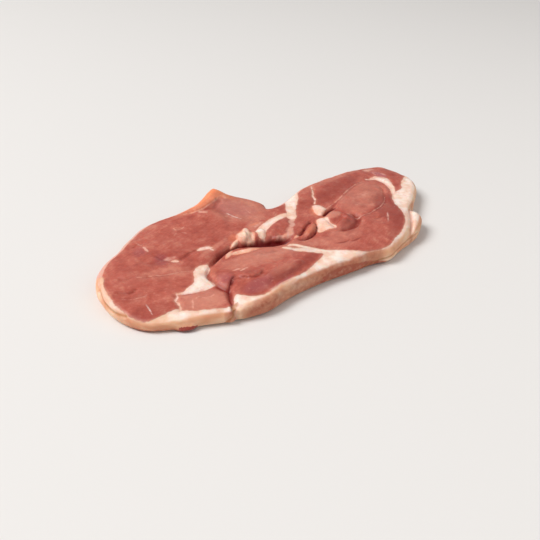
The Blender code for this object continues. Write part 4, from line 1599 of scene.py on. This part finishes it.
@dataclass(frozen=True)
class MeatFinish:
    """Raw lamb cut with a knife: moist lean with short fibres, and waxy fat with a dry outer side.

    The lean is a soft brownish red with a fine grain, the fat is cream with blushes of pink, and its outer
    side is tan. Silverskin is thin, white and smooth, and the torn tissue in the cleft is dark red and wet.
    Painted shade darkens the cleft further down, the seams and creases, and the foot of the outer side, and
    painted light brightens raised muscle, the back rim and the flap's thin edge.
    """

    violet_colour: str = "#ab6472"
    tan_colour: str = "#b05e47"
    fleck_colour: str = "#e3a48a"
    skin_stops: Stops = ((0.36, "#e2a07c"), (0.50, "#eeb893"), (0.64, "#f7d3b4"))
    fat_stops: Stops = ((0.38, "#f3ccb5"), (0.50, "#fadccb"), (0.62, "#fdeade"))
    lean_stops: Stops = ((0.40, "#a84f43"), (0.47, "#b65b4c"), (0.53, "#bf6656"), (0.61, "#cd7f6b"))
    # A layer is what it shows by, and its colour or surface, laid over the ones before it
    skin_layers: Layers = (("tan", tan_colour),)
    # Painted light in these layers: the paler layer, the film's highlights and the orange of the flap's edge
    # Painted shade in these layers: the seam colour, the darker layer, the orange on fat and the deepest red
    fat_layers: Layers = (("blushed", "#e69a7e"), ("violet_in_fat", violet_colour),
                          ("shade_and_marks_in_fat", tan_colour), (Field.SKIN, "skin_colour"), ("creased", "#b4733f"))
    lean_layers: Layers = (("pale", "#dc9680"), ("dusk", "#8a3029"), ("violet", violet_colour),
                           ("flecked", fleck_colour), ("shade_and_marks_in_lean", "#86251c"), ("filmed", "#ebb5a2"),
                           ("cream_root", "#e49b80"), ("creamed", "#f6d2ba"), ("near_fat", fleck_colour),
                           ("in_fat", "fat_colour"), ("in_membrane", "#f6e2d6"), ("amber", "#ff9c6c"),
                           (Field.DEEP_SHADE, "#751413"))

    # Single fibres are too fine to show, so bundles of them are drawn, 0.8 mm wide and 4 mm from cut to cut
    fibre_length: float = 4.0
    fibre_width: float = 0.8
    streak_scale: Triple = (0.07, 0.16, 0.16)
    # Sizes in millimetres: the soft mottling of muscle, its wet specks, and the ragged rims and blots of fat
    patterns: dict[str, Pattern] = table(Pattern, dict(
        mottle=("flesh", 9.0, 5, 0.6),
        fibre=("fibres", 1.0, 5, 0.62, 0.6),
        speck=("flesh", 0.7, 3, 0.6),
        patchy=("flesh", 2.6, 4, 0.6),
        fleck=("fibres", 1.7, 6, 0.7, 1.4),
        wander=("flesh", 1.8, 5, 0.6),
        broad_wander=("flesh", 7.2, 2),
        blot=("flesh", 6.0, 4, 0.6),
        blush=("flesh", 3.4, 5, 0.65),
        streak=("streaks", 1.0, 3, 0.5, 0.5),
    ))
    # A ragged edge is the tissue, the pattern that makes it uneven and by how many millimetres
    ragged_edges: tuple[tuple[Field, str, float], ...] = (
        (Field.FILM, "patchy", 0.9), (Field.CREAM, "patchy", 0.7), (Field.SKIN_LINE, "wander", 0.7),
        (Field.MEMBRANE, "wander", 0.55), (Field.FAT, "broad_wander", 1.2), (Field.FAT, "wander", 1.0))
    steps: dict[str, Step] = table(Step, dict(
        flecked=("fleck", 0.605, 0.74, 0.5),
        filmed=(Field.FILM, 0.1, 0.75, 0.8),
        cream_root=(Field.CREAM, 0.05, 0.45, 0.9),
        creamed=(Field.CREAM, 0.40, 0.95, 0.95),
        in_fat=(Field.FAT, -0.28, 0.30),
        near_fat=(Field.FAT, -1.4, 0.1, 0.30),
        deep_in_fat=(Field.FAT, 0.1, 1.9),
        blushed=("blush", 0.52, 0.74, 0.5),
        creased=(Field.SKIN_LINE, -0.6, 0.4, 0.75),
        strand=(Field.MEMBRANE, -0.30, 0.36),
        whole_strand=("patchy", 0.40, 0.58),
    ))
    shares: dict[str, Share] = table(Share, dict(
        # The paler, darker, orange and seam shares carry painted light and shade besides tissue colour
        pale=(Field.PALE, 0.60, "patchy", 0.8, 0.6),
        dusk=(Field.DUSK, 0.55, "patchy", 0.8, 0.6),
        violet=(Field.VIOLET, 0.50, "patchy", 0.8, 0.6),
        violet_in_fat=(Field.VIOLET, 0.30),
        shade_and_marks_in_lean=(Field.CAVITY, 0.75),
        shade_and_marks_in_fat=(Field.CAVITY, 0.45),
        tan=(Field.TAN, 1.0, "patchy", -1.2, 1.35),
        amber=(Field.AMBER, 1.0, "patchy", 0.5, 0.6),
        in_membrane=("strand", 1.0, "whole_strand", 0.45, 0.45),
    ))
    edge_blush: float = 0.28
    fleck_weights: Weights = ((Field.RAGGED, 0.05), (Field.VIOLET, 0.13))
    tone_weights: Weights = (("speck", 0.04), ("fibre", 0.22), ("mottle", 0.50), ("patchy", 0.24))
    relief_weights: Weights = (("in_fat", 0.10), ("speck", 0.25), ("fibre", 0.45), ("patchy", 0.8),
                               ("in_membrane", 0.25))
    lean_rough: float = 0.40
    speck_rough: float = 0.16
    fat_rough: float = 0.48
    skin_rough: float = 0.58
    membrane_rough: float = 0.32
    bump_strength: float = 0.5
    bump_height: float = 0.42
    ior: float = 1.36
    flesh_depth: float = 1.0
    flesh_share: float = 0.32
    flesh_radius: Triple = (1.4, 0.42, 0.26)

    def material(self, name: str) -> bpy.types.Material:
        """The finish as a material.

        Args:
            name: the material's name.

        Returns:
            The material, read from the piece's attributes and its object coordinates.
        """
        material = bpy.data.materials.new(name)
        material.use_nodes = True
        tree = material.node_tree
        node = partial(add_node, tree)
        sums = {"operation": "MULTIPLY_ADD"}

        # What is known at each spot: the mesh's fields, the spaces that the patterns lie in, and the patterns
        vectors = (Field.GRAIN, Field.RIM)
        spot: dict[Any, Any] = {of: node("Attribute", out="Vector" if of in vectors else "Fac",
                                         attribute_name=of.value) for of in Field}
        across = 1 / self.fibre_width
        spot["flesh"] = node("VectorMath", {0: node("TexCoord", out="Object"), 3: 1 / MM}, operation="SCALE")
        spot["fibres"] = node("Mapping", {"Vector": spot[Field.GRAIN],
                                          "Scale": (1 / self.fibre_length, across, across)})
        spot["streaks"] = node("Mapping", {"Vector": spot[Field.RIM], "Scale": self.streak_scale})
        for key, pattern in self.patterns.items():
            spot[key] = node("TexNoise", {"Vector": spot[pattern.space], "Scale": 1 / pattern.size,
                                          "Detail": pattern.detail, "Roughness": pattern.rough,
                                          "Distortion": pattern.warp})

        # Tissues meet at ragged lines, so a pattern about zero is added to how far inside one a spot lies
        for of, key, weight in self.ragged_edges:
            spot[of] = node("Math", (node("Math", (spot[key], 1.0, -0.5), **sums), weight, spot[of]), **sums)
        for of, weight in self.fleck_weights:
            spot["fleck"] = node("Math", (spot[of], weight, spot["fleck"]), **sums)
        for key, step in self.steps.items():
            spot[key] = node("MapRange", {"Value": spot[step.of], "From Min": step.start,
                                          "From Max": step.full, "To Max": step.share},
                             interpolation_type="SMOOTHSTEP")
        for key, share in self.shares.items():
            swung = node("Math", (spot[share.by], share.swing, share.level), **sums)
            part = node("Math", (spot[share.of], share.part, 0.0), **sums)
            spot[key] = node("Math", (part, swung, 0.0), **sums)
        near_edge = node("Math", (spot["deep_in_fat"], -1.0, 1.0), **sums)
        spot["blushed"] = node("Math", (near_edge, self.edge_blush, spot["blushed"]), **sums)

        # Broad mottling, short fibres and fine specks make the lean's tone, and the relief of the surface
        for total, weights in (("tone", self.tone_weights), ("relief", self.relief_weights)):
            spot[total] = 0.0
            for key, weight in weights:
                spot[total] = node("Math", (spot[key], weight, spot[total]), **sums)

        # The dry outer side, then the fat with that side over it, then the lean with the fat over it
        for surface, key, stops, layers in (("skin_colour", "streak", self.skin_stops, self.skin_layers),
                                            ("fat_colour", "blot", self.fat_stops, self.fat_layers),
                                            ("lean_colour", "tone", self.lean_stops, self.lean_layers)):
            colour = node("ValToRGB", {"Fac": spot[key]}, ramp=stops)
            for share, over in layers:
                colour = node("Mix", {0: spot[share], 6: colour, 7: spot.get(over, over)}, out=2,
                              data_type="RGBA")
            spot[surface] = colour

        specks, skin = self.speck_rough, self.skin_rough
        lean_rough = node("Math", (spot["speck"], specks, self.lean_rough - specks / 2), **sums)
        fat_rough = node("Math", (spot[Field.SKIN], skin - self.fat_rough, self.fat_rough), **sums)
        rough = node("Mix", {0: spot["in_fat"], 2: lean_rough, 3: fat_rough})
        rough = node("Mix", {0: spot["in_membrane"], 2: rough, 3: self.membrane_rough})
        bump = node("Bump", {"Height": spot["relief"], "Strength": self.bump_strength,
                             "Distance": self.bump_height * MM})

        inputs = tree.nodes["Principled BSDF"].inputs
        for socket, output in (("Base Color", spot["lean_colour"]), ("Roughness", rough), ("Normal", bump)):
            tree.links.new(output, inputs[socket])
        for socket, value in (("IOR", self.ior), ("Subsurface Weight", self.flesh_share),
                              ("Subsurface Radius", self.flesh_radius),
                              ("Subsurface Scale", self.flesh_depth * MM)):
            inputs[socket].default_value = value
        return material


@dataclass(frozen=True)
class Studio:
    """A plain pale floor, a broad soft light behind to the left, and a pale surround."""

    floor_half: float = 1.6
    floor_colour: str = "#e6e3e0"
    floor_rough: float = 0.9
    surround_colour: str = "#f2f0ee"
    surround_strength: float = 0.38
    key_place: Triple = (-1.45, 0.80, 2.00)
    key_size: float = 1.25
    key_power: float = 61.0
    fill_place: Triple = (0.30, -0.55, 0.60)
    fill_size: float = 0.70
    fill_power: float = 1.2

    def build(self) -> None:
        """Lay the floor and hang the lights."""
        bpy.ops.object.select_all(action="DESELECT")
        bpy.ops.mesh.primitive_plane_add(size=2 * self.floor_half, location=(0, 0, 0))
        floor = bpy.context.object
        floor.name = "studio_floor"
        material = bpy.data.materials.new("matt painted floor")
        material.use_nodes = True
        shader = material.node_tree.nodes["Principled BSDF"]
        shader.inputs["Base Color"].default_value = shade(self.floor_colour)
        shader.inputs["Roughness"].default_value = self.floor_rough
        floor.data.materials.append(material)
        self._light("key", self.key_place, self.key_size, self.key_power)
        self._light("fill", self.fill_place, self.fill_size, self.fill_power)
        world = bpy.data.worlds.new("studio")
        world.use_nodes = True
        background = world.node_tree.nodes["Background"]
        background.inputs["Color"].default_value = shade(self.surround_colour)
        background.inputs["Strength"].default_value = self.surround_strength
        bpy.context.scene.world = world
        bpy.context.scene.view_settings.view_transform = "Standard"

    @staticmethod
    def _light(name: str, place: Triple, size: float, power: float) -> None:
        """Hang one square light that faces the slice.

        Args:
            name: the first word of its name.
            place: where it hangs, in metres.
            size: the length of its side in metres.
            power: its power in watts.
        """
        bpy.ops.object.light_add(type="AREA", location=place)
        light = bpy.context.object
        light.name = name + "_light"
        light.data.size = size
        light.data.energy = power
        light.rotation_euler = (-Vector(place)).to_track_quat("-Z", "Y").to_euler()


@dataclass(frozen=True)
class ShotCamera:
    """The camera at the photograph's viewing angle, placed in the slice's drawing frame."""

    lens: float = 46.67
    place: Triple = (-217.6, -228.8, 182.5)
    heading: Place = (0.675, 0.738)
    pitch: float = 32.0
    roll: float = 2.1
    near_clip: float = 0.01

    def build(self, middle: Array) -> None:
        """Set the camera up.

        Args:
            middle: what is taken off drawing places to get frame places.
        """
        bpy.ops.object.camera_add()
        camera = bpy.context.object
        camera.data.lens = self.lens
        ahead = Vector((*self.heading, 0)).normalized()
        right = Vector((ahead.y, -ahead.x, 0))
        pitch, roll = np.radians(self.pitch), np.radians(self.roll)
        forward = ahead * np.cos(pitch) - Vector((0, 0, np.sin(pitch)))
        up = right.cross(forward)
        right_rolled = right * np.cos(roll) + up * np.sin(roll)
        up_rolled = up * np.cos(roll) - right * np.sin(roll)
        turn = Matrix((right_rolled, up_rolled, -forward)).transposed().to_4x4()
        at = (Vector(self.place) - Vector(middle)) * MM
        camera.matrix_world = Matrix.Translation(at) @ turn
        camera.data.clip_start = self.near_clip
        bpy.context.scene.camera = camera


def finish_piece(piece: Piece, layer: Layer) -> None:
    """Shade a piece smooth and tie it to the frame.

    Args:
        piece: the piece.
        layer: the solid that it stands for.
    """
    only(piece)
    bpy.ops.object.shade_smooth_by_angle(angle=np.radians(SMOOTH_DEGREES))
    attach(piece, ROOT_BODY)
    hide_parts(layer.value)
    LOG.info("%s: %d faces", piece.name, len(piece.data.polygons))


def main() -> None:
    """Build the slice, its finish, the studio and the camera."""
    logging.basicConfig(level=logging.INFO, format="%(message)s")
    slice_ = LambSlice()
    pieces = slice_.build()
    finish = MeatFinish()
    slots = {Layer.LEAN: ("lean", "raw lamb leg muscle"), Layer.FAT_CAP: ("fat", "raw lamb fat")}
    for layer, piece in pieces.items():
        slot, name = slots[layer]
        slice_.paint(piece)
        piece.data.materials.clear()
        piece.data.materials.append(finish.material(name))
        finish_piece(piece, layer)
    Studio().build()
    ShotCamera().build(slice_.middle)


if __name__ == "__main__":
    main()
